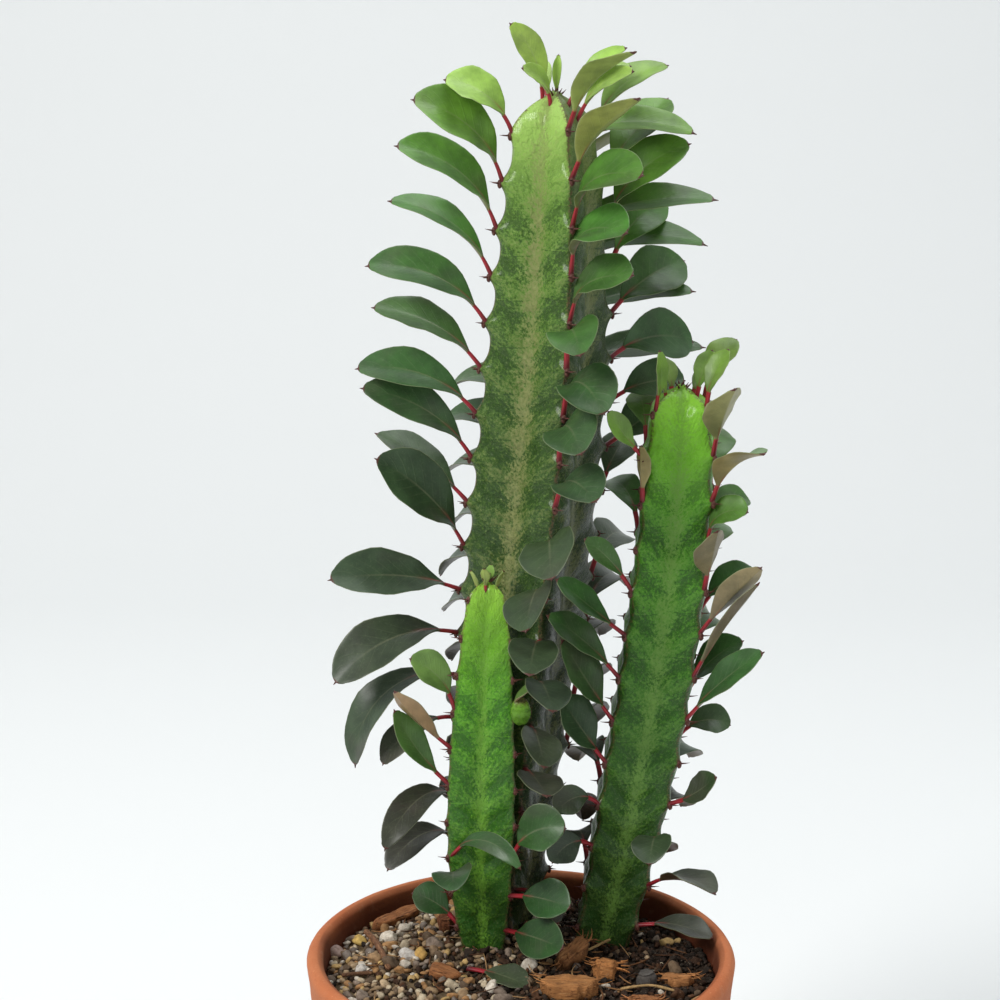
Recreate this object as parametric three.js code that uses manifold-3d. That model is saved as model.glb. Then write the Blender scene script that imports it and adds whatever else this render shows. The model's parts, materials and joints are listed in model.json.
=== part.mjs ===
// A potted euphorbia: three ribbed, toothed green stems with petioled leaves, standing in gritty
// potting mix in a plain terracotta pot. Millimetres, +Z up. The pot's foot is at z = 0.
import * as THREE from "three";
import { mergeVertices } from "three/addons/utils/BufferGeometryUtils.js";
import Module from "manifold-3d";

const wasm = await Module();
wasm.setup();

// ---------------------------------------------------------------- driving dimensions

// The pot's axis stands here, so that the middle of the whole plant's box is over the origin.
const POT_AXIS = [-4, -5, 0];

const POT = {
  height: 140,
  rimRadius: 80,
  footRadius: 61,
  wall: 6,
  floor: 9,
  drainRadius: 8,
  footRound: 2.5,
  belly: 1.2, // how far the side bows out from a straight taper
  facets: 32,
};

const MIX = {
  edgeHeight: 130, // where the mix meets the pot's wall
  crownHeight: 134.5, // where it is heaped round the stems
  grain: 1.5, // height of the gravel's relief
  rings: 6,
  facets: 28,
  clear: 0.35, // gap to the stems and to the pot's floor
  wallClear: 0.6, // gap to the pot's wall, measured at the mix's own corners
  hollow: { x: 48, y: 36, depth: 2.5, reach: 26 }, // sunken ground at the right
};

const TOOTH_SHARPNESS = 1.4; // how steeply the margin falls away from a tooth, 1 being an even curve

const SPINE = {
  length: 4,
  radius: 0.75,
  spread: 38, // half the angle between the two spines of a pair, degrees
  root: 1.6, // how deep a spine starts inside its tooth
  everyTooth: 4, // the teeth that carry a pair
};

const LEAF = {
  petiole: 8, // length of the stalk
  petioleWidth: 2,
  petioleThickness: 1.8,
  thickness: 0.8,
  root: 1.8, // how deep the stalk starts inside its tooth
  fold: 24, // how far each half of the blade rises from the midrib, degrees
  widest: 0.58, // where the blade is widest, as a share of its length
  bluntness: 0.62,
};

const SHOOT_FACETS = { around: 8, up: 6 };

// Where a blade's sections are, as shares of its length: the first is its foot, and its tip follows.
const BLADE_STATIONS = [0, 0.3, 0.66, 0.91];

// Each stem: the axis and the girth are cubic Bezier curves from the surface of the mix to the apex.
// girth is the radius out to the teeth. Ribs are given by their azimuth (0 = +X, 90 = +Y).
const STEMS = {
  stem_tall: {
    number: 1,
    axis: [[-6.5, 42, 131], [-4.2, 42.5, 238], [16.1, 37, 345], [12, 35, 452]],
    girth: [17, 30, 33, 18],
    ribs: [195, 285, 27, 98],
    twist: -5, // how far the ribs turn from the apex down to the mix, degrees
    valley: 0.55, // radius between the ribs, as a share of the girth
    crown: 7, // height over which the top is rounded off
    rootLength: 34,
    pitch: 16.9,
    topTooth: 14,
    notch: 3.8, // how deep a margin dips between two teeth
    phase: [0, -0.12, -0.06, 0.45],
    color: 0x4d7d2c,
  },
  stem_right: {
    number: 2,
    axis: [[32.3, 30, 132], [47, 30, 204], [59, 28.5, 276], [58.5, 27, 347]],
    girth: [16, 23, 20.5, 18],
    ribs: [221, 311, 41, 131],
    twist: 0,
    valley: 0.58,
    crown: 5,
    rootLength: 30,
    pitch: 16.6,
    topTooth: 7,
    notch: 3.2,
    phase: [0.06, 0, -0.05, 0.05],
    color: 0x5c9a2a,
  },
  stem_short: {
    number: 3,
    axis: [[-14, 16.4, 132], [-16.5, 16.4, 181], [-13.5, 15.4, 229], [-12.5, 14.4, 277.5]],
    girth: [9.4, 20, 13.8, 9],
    ribs: [210, 330, 90],
    twist: 0,
    valley: 0.44,
    crown: 3.5,
    rootLength: 26,
    pitch: 14.2,
    topTooth: 6,
    notch: 1,
    phase: [0, 0.12, 0.3],
    bareRibs: [2], // the rib pressed against the tall stem has lost its leaves and spines
    shoots: [{ rib: 1, tooth: 2.8, out: 2.2, width: 8.5, height: 11 }],
    color: 0x66a82c,
  },
};

// Leaf habit of each rib: every list runs evenly from the mix to the apex and is interpolated.
// yaw is counted from the rib's azimuth, rise and tip are the elevations of the leaf's axis at its
// root and at its tip, and roll turns the blade about its axis. Angles in degrees. The stalk keeps
// its rise for the share hold of the leaf, and bend is how soon after that the leaf bends over.
const HABITS = {
  stem_tall: [
    {
      yaw: [20, 32, 1, -10, -13, -6, -8],
      rise: [20, 34, 12, 55, 53, 65, 66],
      tip: [-60, -56, -60, 25, -2, 6, 22],
      roll: [-30, -28, -30, -45, -38, -36, -36],
      length: [38, 48, 57, 48, 46, 50, 38],
      width: [15, 15, 20, 21, 19, 21, 19],
      hold: 0.08,
      bend: 1.15,
    },
    {
      yaw: [4, -7, -14, -5, 3, 30, 25],
      rise: [20, 14, 18, 50, 80, 76, 60],
      tip: [-30, -4, -14, -30, -34, 0, 25],
      roll: [0, -12, -4, 28, 26, 38, 0],
      length: [30, 40, 44, 36, 37, 38, 44],
      width: [15, 18, 19, 21, 21, 20, 18],
      hold: 0.2,
      bend: 2.2,
    },
    {
      yaw: [40, 44, 44, 38, 10, 14, -10],
      rise: [50, 56, 56, 46, 30, 58, 66],
      tip: [-80, -70, -50, -10, 0, 10, 24],
      roll: [0, 6, 12, 30, 46, 40, 20],
      length: [36, 40, 42, 36, 38, 43, 38],
      width: [17, 18, 19, 19, 20, 20, 17],
      hold: 0.12,
      bend: 1.2,
    },
    {
      yaw: [30, 40, 48, 54, 56, 54, 48],
      rise: [30, 42, 50, 58, 62, 68, 76],
      tip: [-85, -80, -60, -40, -22, -6, 12],
      roll: [0, -8, -14, -16, -16, -12, -6],
      length: [34, 38, 42, 44, 44, 42, 38],
      width: [18, 20, 20, 20, 19, 18, 16],
      hold: 0.12,
      bend: 1.1,
    },
  ],
  stem_right: [
    {
      yaw: [-6, -18, -20, -35, -20],
      rise: [36, 50, 50, 60, 86],
      tip: [-60, 20, 40, 40, 84],
      roll: [-50, -52, -40, -50, -60],
      length: [22, 32, 36, 27, 22],
      width: [13, 18, 16, 10, 8],
      hold: 0.1,
      bend: 1,
    },
    {
      yaw: [20, 0, 20, 0, 20],
      rise: [34, 40, 60, 74, 84],
      tip: [-40, -10, 44, 20, 50],
      roll: [-10, 20, 10, 20, 24],
      length: [32, 30, 40, 32, 26],
      width: [16, 16, 14, 16, 11],
      hold: 0.15,
      bend: 1.2,
    },
    {
      yaw: [-20, -22, -24, -18, -8],
      rise: [40, 50, 56, 66, 78],
      tip: [-80, -65, -45, -20, 25],
      roll: [24, 30, 40, 36, 20],
      length: [32, 36, 40, 38, 28],
      width: [17, 18, 19, 17, 12],
      hold: 0.12,
      bend: 1.1,
    },
    {
      yaw: [-24, -24, -22, -16, 10],
      rise: [50, 56, 60, 70, 80],
      tip: [-70, -60, -40, -10, 40],
      roll: [-10, -10, -10, -10, -10],
      length: [30, 32, 34, 32, 26],
      width: [16, 17, 17, 15, 11],
      hold: 0.12,
      bend: 1.1,
    },
  ],
  stem_short: [
    {
      yaw: [-16, -14, -10, 0],
      rise: [60, 48, 70, 86],
      tip: [-10, 60, 30, 80],
      roll: [-40, -50, -40, 0],
      length: [34, 38, 28, 8],
      width: [13, 13, 12, 4],
      hold: 0.15,
      bend: 1,
    },
    {
      yaw: [-14, -14, -10, 0],
      rise: [20, 50, 76, 86],
      tip: [-10, 0, 20, 80],
      roll: [40, 50, 20, 0],
      length: [32, 30, 18, 8],
      width: [17, 17, 9, 4],
      hold: 0.12,
      bend: 1.1,
    },
  ],
};

// Teeth that have lost their leaf, as where two stems crowd each other, by stem and rib, counted down
// from the apex.
const BARE_TEETH = {
  stem_tall: [[14, 17], [15, 16], [9, 15, 17], []],
  stem_right: [[3, 11, 12], [8], [1, 12], [0, 2, 4, 5, 6, 7, 8, 10, 12]],
  stem_short: [[0, 1, 2, 6], [0, 1, 2, 4, 5, 6]],
};

// Leaves that stand out from their rib's habit, by stem, rib and tooth.
const EXCEPTIONS = {
  stem_tall: [
    {
      0: { length: 33 },
      1: { rise: 71, tip: 11, roll: -50, length: 46, width: 23 },
      3: { yaw: 180, rise: 65, tip: 8, roll: -26, length: 48, width: 17 },
      6: { yaw: 182, rise: 48, tip: -6, roll: -41, length: 49, width: 19 },
      7: { yaw: 187, rise: 57, tip: 9, roll: -50, length: 50, width: 18 },
      8: { yaw: 168, rise: 46, tip: 24, roll: -12, length: 43, width: 21 },
      9: { yaw: 208, rise: 60, tip: 32, roll: -66, length: 52, width: 24 },
      10: { yaw: 207, rise: 23, tip: -4, roll: -42, length: 54, width: 22 },
      11: { yaw: 201, rise: 13, tip: -45, roll: -37, length: 54, width: 22 },
      12: { yaw: 197, rise: 11, tip: -88, roll: -22, length: 60, width: 18 },
      13: { rise: 8, tip: -60, length: 36, width: 13 },
      15: { yaw: 235, rise: 37, tip: -56, roll: -28, length: 50, width: 13 },
      16: { yaw: 227, rise: 40, tip: -45, roll: -20, length: 42, width: 14 },
    },
    {
      1: { yaw: 310, rise: 60, tip: 25, roll: 0, length: 46, width: 19 },
      2: { yaw: 316, rise: 73, tip: 0, roll: 42, length: 44, width: 21 },
      3: { yaw: 316, rise: 84, tip: -6, roll: 35, length: 38, width: 22 },
      4: { yaw: 326, rise: 75, tip: 5, roll: 38, length: 36, width: 21 },
      5: { yaw: 280, rise: 85, tip: -30, roll: 22, length: 40, width: 20 },
      6: { yaw: 300, rise: 77, tip: -38, roll: 26, length: 39, width: 22 },
      7: { yaw: 287, rise: 84, tip: -32, roll: 32, length: 39, width: 22 },
      8: { yaw: 298, rise: 64, tip: -22, roll: 25, length: 36, width: 20 },
      9: { yaw: 269, rise: 38, tip: -32, roll: 28, length: 40, width: 23 },
      10: { yaw: 257, rise: 32, tip: -36, roll: 30, length: 38, width: 22 },
      11: { yaw: 264, rise: 14, tip: -8, roll: -6, length: 48, width: 19 },
      12: { yaw: 280, rise: 22, tip: -16, roll: -10, length: 36, width: 18 },
      13: { yaw: 278, rise: 12, tip: -24, roll: -20, length: 34, width: 17 },
      14: { yaw: 281, rise: 8, tip: 2, roll: -10, length: 40, width: 18 },
      17: { yaw: 312, tip: -40, length: 27, width: 14 },
    },
    {
      1: { yaw: 45, rise: 46, tip: 30, roll: 12, length: 44, width: 22 },
      2: { yaw: 5, rise: 68, tip: 16, roll: 45, length: 43, width: 20 },
      3: { yaw: 50, rise: 58, tip: 0, roll: 48, length: 44, width: 16 },
      4: { yaw: 45, rise: 35, tip: 5, roll: 45, length: 46, width: 22 },
      5: { yaw: 37, rise: 26, tip: -18, roll: 60, length: 43, width: 22 },
      6: { yaw: -2, rise: 36, tip: -5, roll: 46, length: 31, width: 19 },
      7: { yaw: 35, rise: 24, tip: 28, roll: 38, length: 31, width: 18 },
      8: { yaw: 60, rise: 50, tip: 20, roll: 20, length: 30, width: 15 },
    },
    {
      0: { yaw: -6, rise: 32, tip: -20, roll: 30, length: 56, width: 17 },
      1: { yaw: 20, rise: 50, tip: 4, roll: -16, length: 55, width: 18 },
      2: { yaw: -6, rise: 32, tip: -5, roll: 30, length: 66, width: 17 },
      3: { yaw: 0, rise: 44, tip: -20, roll: 30, length: 66, width: 17 },
      4: { yaw: 6, rise: 32, tip: -5, roll: 30, length: 61, width: 17 },
      5: { yaw: 12, rise: 20, tip: -5, roll: 30, length: 66, width: 17 },
      17: { yaw: 104, rise: 74, tip: 40, roll: 0, length: 30, width: 15 },
    },
  ],
  stem_right: [
    {
      0: { rise: 100, tip: 88, length: 23, width: 8 },
      1: { yaw: 187, rise: 45, tip: 58, roll: -55, length: 23, width: 10 },
      2: { yaw: 250, rise: 84, tip: 88, roll: -30, length: 22, width: 8 },
      4: { yaw: 181, rise: 60, tip: 33, roll: -53, length: 27, width: 10 },
      5: { yaw: 185, rise: 38, tip: 41, roll: -31, length: 34, width: 15 },
      6: { yaw: 186, rise: 50, tip: 33, roll: -36, length: 37, width: 16 },
      7: { yaw: 198, rise: 55, tip: 62, roll: -50, length: 39, width: 21 },
      8: { yaw: 199, rise: 53, tip: 58, roll: -54, length: 33, width: 20 },
      9: { yaw: 205, rise: 44, tip: -55, roll: -53, length: 21, width: 12 },
      10: { yaw: 215, rise: 36, tip: -60, roll: -58, length: 22, width: 13 },
    },
    {
      0: { yaw: 20, rise: 84, tip: 50, length: 24, width: 10 },
      1: { yaw: 295, rise: 74, tip: 50, roll: 16, length: 31, width: 18 },
      2: { yaw: 309, rise: 66, tip: 11, roll: 0, length: 36, width: 19 },
      3: { yaw: 332, rise: 88, tip: -5, roll: 41, length: 25, width: 14 },
      4: { yaw: 283, rise: 64, tip: 64, roll: 30, length: 28, width: 16 },
      5: { yaw: 337, rise: 55, tip: 45, roll: -44, length: 36, width: 13 },
      6: { yaw: 337, rise: 63, tip: 53, roll: -20, length: 45, width: 8 },
      7: { yaw: 334, rise: 52, tip: 37, roll: 44, length: 42, width: 15 },
      9: { yaw: 326, rise: 24, tip: 48, roll: 46, length: 25, width: 14 },
      10: { yaw: 259, rise: 44, tip: -43, roll: 9, length: 27, width: 16 },
      11: { yaw: 318, rise: 34, tip: -18, roll: -10, length: 34, width: 20 },
      12: { yaw: 338, rise: 14, tip: -16, roll: 10, length: 31, width: 14 },
    },
    {
      2: { yaw: 76, rise: 70, tip: 0, length: 32 },
      3: { yaw: 30, length: 25, width: 13 },
      4: { yaw: 74 },
      5: { yaw: 8, rise: 60, tip: 10, length: 28, width: 14 },
      6: { yaw: 72 },
      7: { yaw: 352, rise: 63, tip: 27, roll: 40, length: 32, width: 16 },
      8: { yaw: 0, rise: 50, tip: -30, roll: 40, length: 23, width: 14 },
      9: { yaw: 70 },
      10: { yaw: 62, length: 30 },
      11: { yaw: 68, length: 26 },
    },
    {
      1: { yaw: 98 },
    },
  ],
  stem_short: [
    {
      3: { yaw: 192, rise: 73, tip: 22, roll: -50, length: 28, width: 15 },
      4: { yaw: 206, rise: 42, tip: 56, roll: 30, length: 34, width: 11 },
      5: { yaw: 192, rise: 46, tip: 70, roll: -52, length: 37, width: 13 },
      7: { yaw: 317, rise: 47, tip: -46, roll: 63, length: 40, width: 8 },
      8: { yaw: 270, rise: 68, tip: -40, roll: 14, length: 28, width: 16 },
      9: { yaw: 172, rise: 50, tip: 10, roll: -40, length: 22, width: 14 },
    },
    {
      3: { yaw: 330, rise: 76, tip: 30, length: 15, width: 8 },
      7: { yaw: 336, rise: 67, tip: 3, roll: 60, length: 30, width: 19 },
      8: { yaw: 320, rise: 15, tip: -4, roll: 45, length: 30, width: 17 },
      9: { yaw: 307, rise: 12, tip: 4, roll: 50, length: 36, width: 17 },
    },
  ],
};

// Young leaves crowded round each apex: below is how far under the apex a leaf grows.
const CROWNS = {
  stem_tall: [
    { azimuth: 190, below: 3, yaw: 184, rise: 90, tip: 42, roll: -66, length: 33, width: 11 },
    { azimuth: 250, below: 3, yaw: 204, rise: 84, tip: 14, roll: -50, length: 20, width: 9 },
    { azimuth: 80, below: 2, yaw: 60, rise: 90, tip: 84, roll: 0, length: 18, width: 4 },
    { azimuth: 330, below: 3, yaw: 352, rise: 66, tip: 22, roll: 40, length: 31, width: 9 },
    { azimuth: 20, below: 4, yaw: 12, rise: 62, tip: 2, roll: 34, length: 29, width: 10 },
    { azimuth: 345, below: 8, yaw: 340, rise: 68, tip: 8, roll: 40, length: 29, width: 11 },
    { azimuth: 110, below: 4, yaw: 120, rise: 76, tip: 20, roll: 0, length: 26, width: 10 },
  ],
  stem_right: [
    { azimuth: 345, below: 3, yaw: 0, rise: 80, tip: 66, roll: 50, length: 20, width: 9 },
    { azimuth: 20, below: 2, yaw: 20, rise: 78, tip: 40, roll: 40, length: 12, width: 6 },
    { azimuth: 200, below: 3, yaw: 190, rise: 76, tip: 70, roll: -40, length: 13, width: 5 },
    { azimuth: 120, below: 3, yaw: 110, rise: 76, tip: 50, roll: 0, length: 16, width: 7 },
  ],
  stem_short: [
    { azimuth: 200, below: 2, yaw: 190, rise: 74, tip: 60, roll: 0, length: 9, width: 4 },
    { azimuth: 260, below: 1.5, yaw: 250, rise: 86, tip: 80, roll: 0, length: 9, width: 4 },
    { azimuth: 340, below: 2, yaw: 350, rise: 70, tip: 60, roll: 0, length: 9, width: 4 },
    { azimuth: 60, below: 1.5, yaw: 60, rise: 84, tip: 80, roll: 0, length: 9, width: 4 },
  ],
};

// Chips of bark and husk, and a stone, each in a pocket of the mix: middle is the chip's middle and
// lift how high that lies over the mix. size is its length, width and height, turn its heading, tilt
// its slope along and across, and corners the number of points of its uneven outline.
const CHIPS = {
  bark_strip: {
    middle: [-48.5, 44.5], lift: 1.8, size: [31, 7.5, 4], turn: 47, tilt: [0, 14], corners: 8,
    seed: 41, color: 0x8d5632,
  },
  bark_left: {
    middle: [-28, -11], lift: 0.8, size: [16, 9, 4.5], turn: -24, tilt: [-8, 6], corners: 7,
    seed: 42, color: 0x9a5c33,
  },
  bark_behind: {
    middle: [-28.5, 33], lift: 2.4, size: [9, 8, 8], turn: 30, tilt: [12, 16], corners: 6,
    seed: 43, color: 0x7f4526,
  },
  husk_large: {
    middle: [17.5, -25], lift: 1.6, size: [25, 15, 7], turn: -4, tilt: [2, -5], corners: 8,
    seed: 44, color: 0x9b6437,
  },
  husk_upright: {
    middle: [19, 0], lift: 2.6, size: [22, 9, 8], turn: 52, tilt: [10, 18], corners: 7,
    seed: 45, color: 0x8a5a34,
  },
  husk_square: {
    middle: [31.5, -10], lift: 2, size: [12, 12, 8], turn: 8, tilt: [-6, -8], corners: 5,
    seed: 46, color: 0xb0703a,
  },
  husk_right: {
    middle: [57.5, -12.5], lift: 1, size: [14, 10, 4], turn: -12, tilt: [5, -6], corners: 7,
    seed: 47, color: 0xa2683c,
  },
  husk_front: {
    middle: [44, -33], lift: 1.2, size: [15, 9, 5], turn: 6, tilt: [-4, -4], corners: 6,
    seed: 48, color: 0x9b5f38,
  },
  stone_grey: {
    middle: [46, -15], lift: 1.4, size: [9.5, 8.5, 7], turn: 20, tilt: [6, 4], corners: 7,
    seed: 49, color: 0x5d5a55,
  },
};

const CHIP = {
  bevel: 0.9,
  unevenness: 0.16, // how far a corner may be drawn in, as a share of its distance from the middle
};

// Twigs lying on the mix: points on the way, each with its height over the mix.
const TWIGS = {
  twig_curved: {
    path: [[-60, 33, 1.5], [-55.5, 21, 1.6], [-52, 8, 1.5], [-49, -5, 1.2]], radius: 1.3,
    color: 0x7a5236,
  },
  twig_thin: {
    path: [[-66.5, -8, 1.7], [-61, -7.4, 1.5], [-55, -7.6, 1.4]], radius: 0.8, color: 0x5f3d28,
  },
};

const TWIG = { sides: 5, steps: 6 };

// A leaf shed by the short stem, lying on the mix in front of it.
const FALLEN_LEAF = {
  root: [-19.5, -8.5, 135.4], yaw: -34, rise: 8, tip: -10, roll: 10, length: 26, width: 14, hold: 0, bend: 1,
};

const POCKET_GAP = 0.35; // room round what lies in a pocket of the mix
const SCRAP = 2; // the most that a loose scrap may hold, mm3

const JITTER = { yaw: 7, rise: 5, tip: 9, roll: 7, length: 0.06, width: 0.06 };

// ---------------------------------------------------------------- numbers

const radians = (degrees) => (degrees * Math.PI) / 180;

// A repeatable stream of numbers from 0 to 1.
function seeded(seed) {
  let state = seed;
  const next = () => {
    state = (state * 16807) % 2147483647;
    return state / 2147483647;
  };
  for (let i = 0; i < 4; i++) next();
  return next;
}

// The value at share f (0 to 1) of a list whose entries are evenly spaced.
function along(list, f) {
  const x = Math.min(Math.max(f, 0), 1) * (list.length - 1);
  const i = Math.min(Math.floor(x), list.length - 2);
  return list[i] + (list[i + 1] - list[i]) * (x - i);
}

function bezier([a, b, c, d], t) {
  const s = 1 - t;
  return s * s * s * a + 3 * s * s * t * b + 3 * s * t * t * c + t * t * t * d;
}

// ---------------------------------------------------------------- solids

// A closed mesh through rings of points, each ring counterclockwise seen from the way it travels.
// mirrored lists the ring edges whose quads split along the other diagonal.
function loft(rings, mirrored = []) {
  const n = rings[0].length;
  const faces = [];
  for (let i = 0; i + 1 < rings.length; i++) {
    for (let j = 0; j < n; j++) {
      const a = i * n + j;
      const b = i * n + ((j + 1) % n);
      const c = b + n;
      const d = a + n;
      if (mirrored.includes(j)) faces.push(a, b, d, b, c, d);
      else faces.push(a, b, c, a, c, d);
    }
  }
  const last = (rings.length - 1) * n;
  for (let j = 1; j + 1 < n; j++) {
    faces.push(0, j + 1, j);
    faces.push(last, last + j, last + j + 1);
  }
  return solidFrom(...welded(rings.flat(), faces));
}

// Positions and faces with points that coincide made one, and the faces that this closes left out.
function welded(points, faces) {
  const numbers = new Map();
  const positions = [];
  const numberOf = points.map((point) => {
    const key = point.map((v) => Math.round(v * 1e4)).join();
    if (!numbers.has(key)) {
      numbers.set(key, numbers.size);
      positions.push(...point);
    }
    return numbers.get(key);
  });
  const kept = [];
  for (let i = 0; i < faces.length; i += 3) {
    const [a, b, c] = faces.slice(i, i + 3).map((k) => numberOf[k]);
    if (a !== b && b !== c && c !== a) kept.push(a, b, c);
  }
  return [positions, kept];
}

function solidFrom(positions, faces) {
  const mesh = new wasm.Mesh({
    numProp: 3,
    vertProperties: new Float32Array(positions),
    triVerts: new Uint32Array(faces),
  });
  return new wasm.Manifold(mesh);
}

// A three.js geometry as a solid: shared vertices are merged on position alone.
function solidOfGeometry(geometry) {
  const bare = new THREE.BufferGeometry();
  bare.setAttribute("position", geometry.getAttribute("position"));
  if (geometry.index) bare.setIndex(geometry.index);
  const merged = mergeVertices(bare, 1e-3);
  return solidFrom(merged.getAttribute("position").array, merged.index.array);
}

// The largest body of a solid, with any sealed hollow in it filled. Only scraps may be loose.
function oneBody(solid) {
  const bodies = solid.decompose().filter((body) => body.volume() > 0);
  const largest = bodies.reduce((a, b) => (b.volume() > a.volume() ? b : a));
  const loose = bodies.filter((body) => body !== largest && body.volume() > SCRAP);
  if (loose.length) throw new Error(`${loose.length} bodies are loose`);
  return largest;
}

function meshOf(name, solid, material) {
  const made = solid.getMesh();
  const geometry = new THREE.BufferGeometry();
  geometry.setAttribute("position", new THREE.BufferAttribute(made.vertProperties, 3));
  geometry.setIndex(new THREE.BufferAttribute(made.triVerts, 1));
  geometry.computeVertexNormals();
  const mesh = new THREE.Mesh(geometry, material);
  mesh.name = name;
  return mesh;
}

// ---------------------------------------------------------------- pot

// Outer radius of the pot's side at a height.
function potRadius(z) {
  const f = z / POT.height;
  const taper = POT.footRadius + (POT.rimRadius - POT.footRadius) * f;
  return taper + POT.belly * Math.sin(Math.PI * f);
}

function potProfile() {
  const lip = POT.wall / 2;
  const lipZ = POT.height - lip;
  const points = [[POT.drainRadius, 0], [POT.footRadius - POT.footRound, 0]];
  points.push([potRadius(POT.footRound), POT.footRound]);
  points.push([potRadius(POT.height / 2), POT.height / 2]);
  const middle = potRadius(lipZ) - lip;
  for (let angle = 0; angle <= 180; angle += 45) {
    points.push([
      middle + lip * Math.cos(radians(angle)),
      lipZ + lip * Math.sin(radians(angle)),
    ]);
  }
  points.push([potRadius(POT.height / 2) - POT.wall, POT.height / 2]);
  points.push([potRadius(POT.floor) - POT.wall, POT.floor]);
  points.push([POT.drainRadius, POT.floor]);
  points.push(points[0]);
  return points.map(([r, z]) => new THREE.Vector2(r, z));
}

function makePot() {
  const geometry = new THREE.LatheGeometry(potProfile(), POT.facets);
  geometry.rotateX(Math.PI / 2);
  return solidOfGeometry(geometry);
}

// ---------------------------------------------------------------- stems

function stemTop(stem) {
  return stem.axis[3][2];
}

function stemFoot(stem) {
  return stem.axis[0][2];
}

// Share of the way from the mix to the apex; below the mix it is negative.
function share(stem, z) {
  return (z - stemFoot(stem)) / (stemTop(stem) - stemFoot(stem));
}

function axisAt(stem, z) {
  const t = Math.max(share(stem, z), 0);
  return [0, 1].map((i) => bezier(stem.axis.map((p) => p[i]), t));
}

// Radius out to the teeth at a height, rounded off at the apex and narrowed in the mix.
function girthAt(stem, z) {
  const t = Math.max(share(stem, z), 0);
  const below = stemTop(stem) - z;
  const dome = 1 - Math.exp(-(below + 0.18 * stem.crown) / stem.crown);
  const buried = Math.max(stemFoot(stem) - z, 0) / stem.rootLength;
  return bezier(stem.girth, t) * dome * (1 - 0.45 * buried);
}

function ribAzimuth(stem, rib, z) {
  return stem.ribs[rib] + stem.twist * (1 - Math.max(share(stem, z), 0));
}

function toothHeight(stem, rib, k) {
  return stemTop(stem) - stem.topTooth - (k + stem.phase[rib]) * stem.pitch;
}

function toothCount(stem) {
  return Math.floor((stemTop(stem) - stem.topTooth - stemFoot(stem) - 4) / stem.pitch) + 1;
}

// How far the margin of a rib dips at a height: 0 at a tooth, 1 midway between two.
function dip(stem, rib, z) {
  const turns = (stemTop(stem) - stem.topTooth - z) / stem.pitch - stem.phase[rib];
  if (turns < 0) return 0;
  const s = Math.abs(Math.sin(Math.PI * turns));
  return 1 - Math.pow(1 - s, TOOTH_SHARPNESS);
}

// Distance from the axis to the surface. across runs from -1 at one rib to 1 at the next.
function sectionRadius(stem, girth, notch, across) {
  const edge = Math.abs(across);
  const valley = stem.valley * girth;
  const flank = valley + (girth - valley) * Math.pow(edge, 1.9);
  return flank - notch * Math.pow(edge, 5);
}

const RIB_SAMPLES = [-1, -0.52, 0.52];

// How far below the even rows of points the teeth of a rib lie. Rows are half a pitch apart.
function rowDrop(stem, rib) {
  const phase = stem.phase[rib];
  return (phase - Math.round(2 * phase) / 2) * stem.pitch;
}

// One row of points round a stem. Where it is toothed, the points on a rib keep to the rib's teeth.
function stemRing(stem, height, toothed, plainNotch) {
  const count = stem.ribs.length;
  const ring = [];
  for (let rib = 0; rib < count; rib++) {
    const next = (rib + 1) % count;
    for (const across of RIB_SAMPLES) {
      const nearest = across < 0 ? rib : next;
      const z = toothed && across === -1 ? height - rowDrop(stem, rib) : height;
      const [x, y] = axisAt(stem, z);
      const girth = girthAt(stem, z);
      const from = ribAzimuth(stem, rib, z);
      const span = (ribAzimuth(stem, next, z) - from + 720) % 360;
      const notch = toothed ? stem.notch * dip(stem, nearest, z) : plainNotch;
      const depth = Math.min(notch, 0.3 * girth);
      const r = sectionRadius(stem, girth, depth, across);
      const a = radians(from + (span * (across + 1)) / 2);
      ring.push([x + r * Math.cos(a), y + r * Math.sin(a), z]);
    }
  }
  return ring;
}

function stemCore(stem) {
  const top = stemTop(stem);
  const foot = stemFoot(stem);
  const heights = [foot - stem.rootLength, foot - 3];
  const last = top - stem.topTooth - toothCount(stem) * stem.pitch;
  for (let i = 0; ; i++) {
    const z = last + (i * stem.pitch) / 2;
    if (z > top - stem.topTooth + 0.5) break;
    if (z > foot + 3) heights.push(z);
  }
  const toothed = (z) => z > foot && z < top - stem.topTooth + 1;
  heights.push(top - 0.55 * stem.topTooth, top - 0.2 * stem.topTooth, top);
  return loft(heights.map((z) => stemRing(stem, z, toothed(z), z > foot ? 0 : stem.notch)));
}

// ---------------------------------------------------------------- leaves and spines

function toothPoint(stem, rib, k, depth) {
  const z = toothHeight(stem, rib, k);
  const [x, y] = axisAt(stem, z);
  const azimuth = ribAzimuth(stem, rib, z);
  const r = girthAt(stem, z) - depth;
  return {
    point: [x + r * Math.cos(radians(azimuth)), y + r * Math.sin(radians(azimuth)), z],
    azimuth,
  };
}

// The pose and size of the leaf on one tooth, or null where it has none.
function leafAt(name, rib, k) {
  const stem = STEMS[name];
  const habit = HABITS[name][rib];
  if (!habit || BARE_TEETH[name][rib].includes(k)) return null;
  const { point, azimuth } = toothPoint(stem, rib, k, LEAF.root);
  const f = share(stem, point[2]);
  const random = seeded(stem.number * 10007 + rib * 1009 + k * 101 + 7);
  const vary = () => 2 * random() - 1;
  const leaf = {
    root: point,
    yaw: azimuth + along(habit.yaw, f) + JITTER.yaw * vary(),
    rise: along(habit.rise, f) + JITTER.rise * vary(),
    tip: along(habit.tip, f) + JITTER.tip * vary(),
    roll: along(habit.roll, f) + JITTER.roll * vary(),
    length: along(habit.length, f) * (1 + JITTER.length * vary()),
    width: along(habit.width, f) * (1 + JITTER.width * vary()),
    hold: habit.hold,
    bend: habit.bend,
  };
  return Object.assign(leaf, EXCEPTIONS[name][rib][k]);
}

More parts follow.
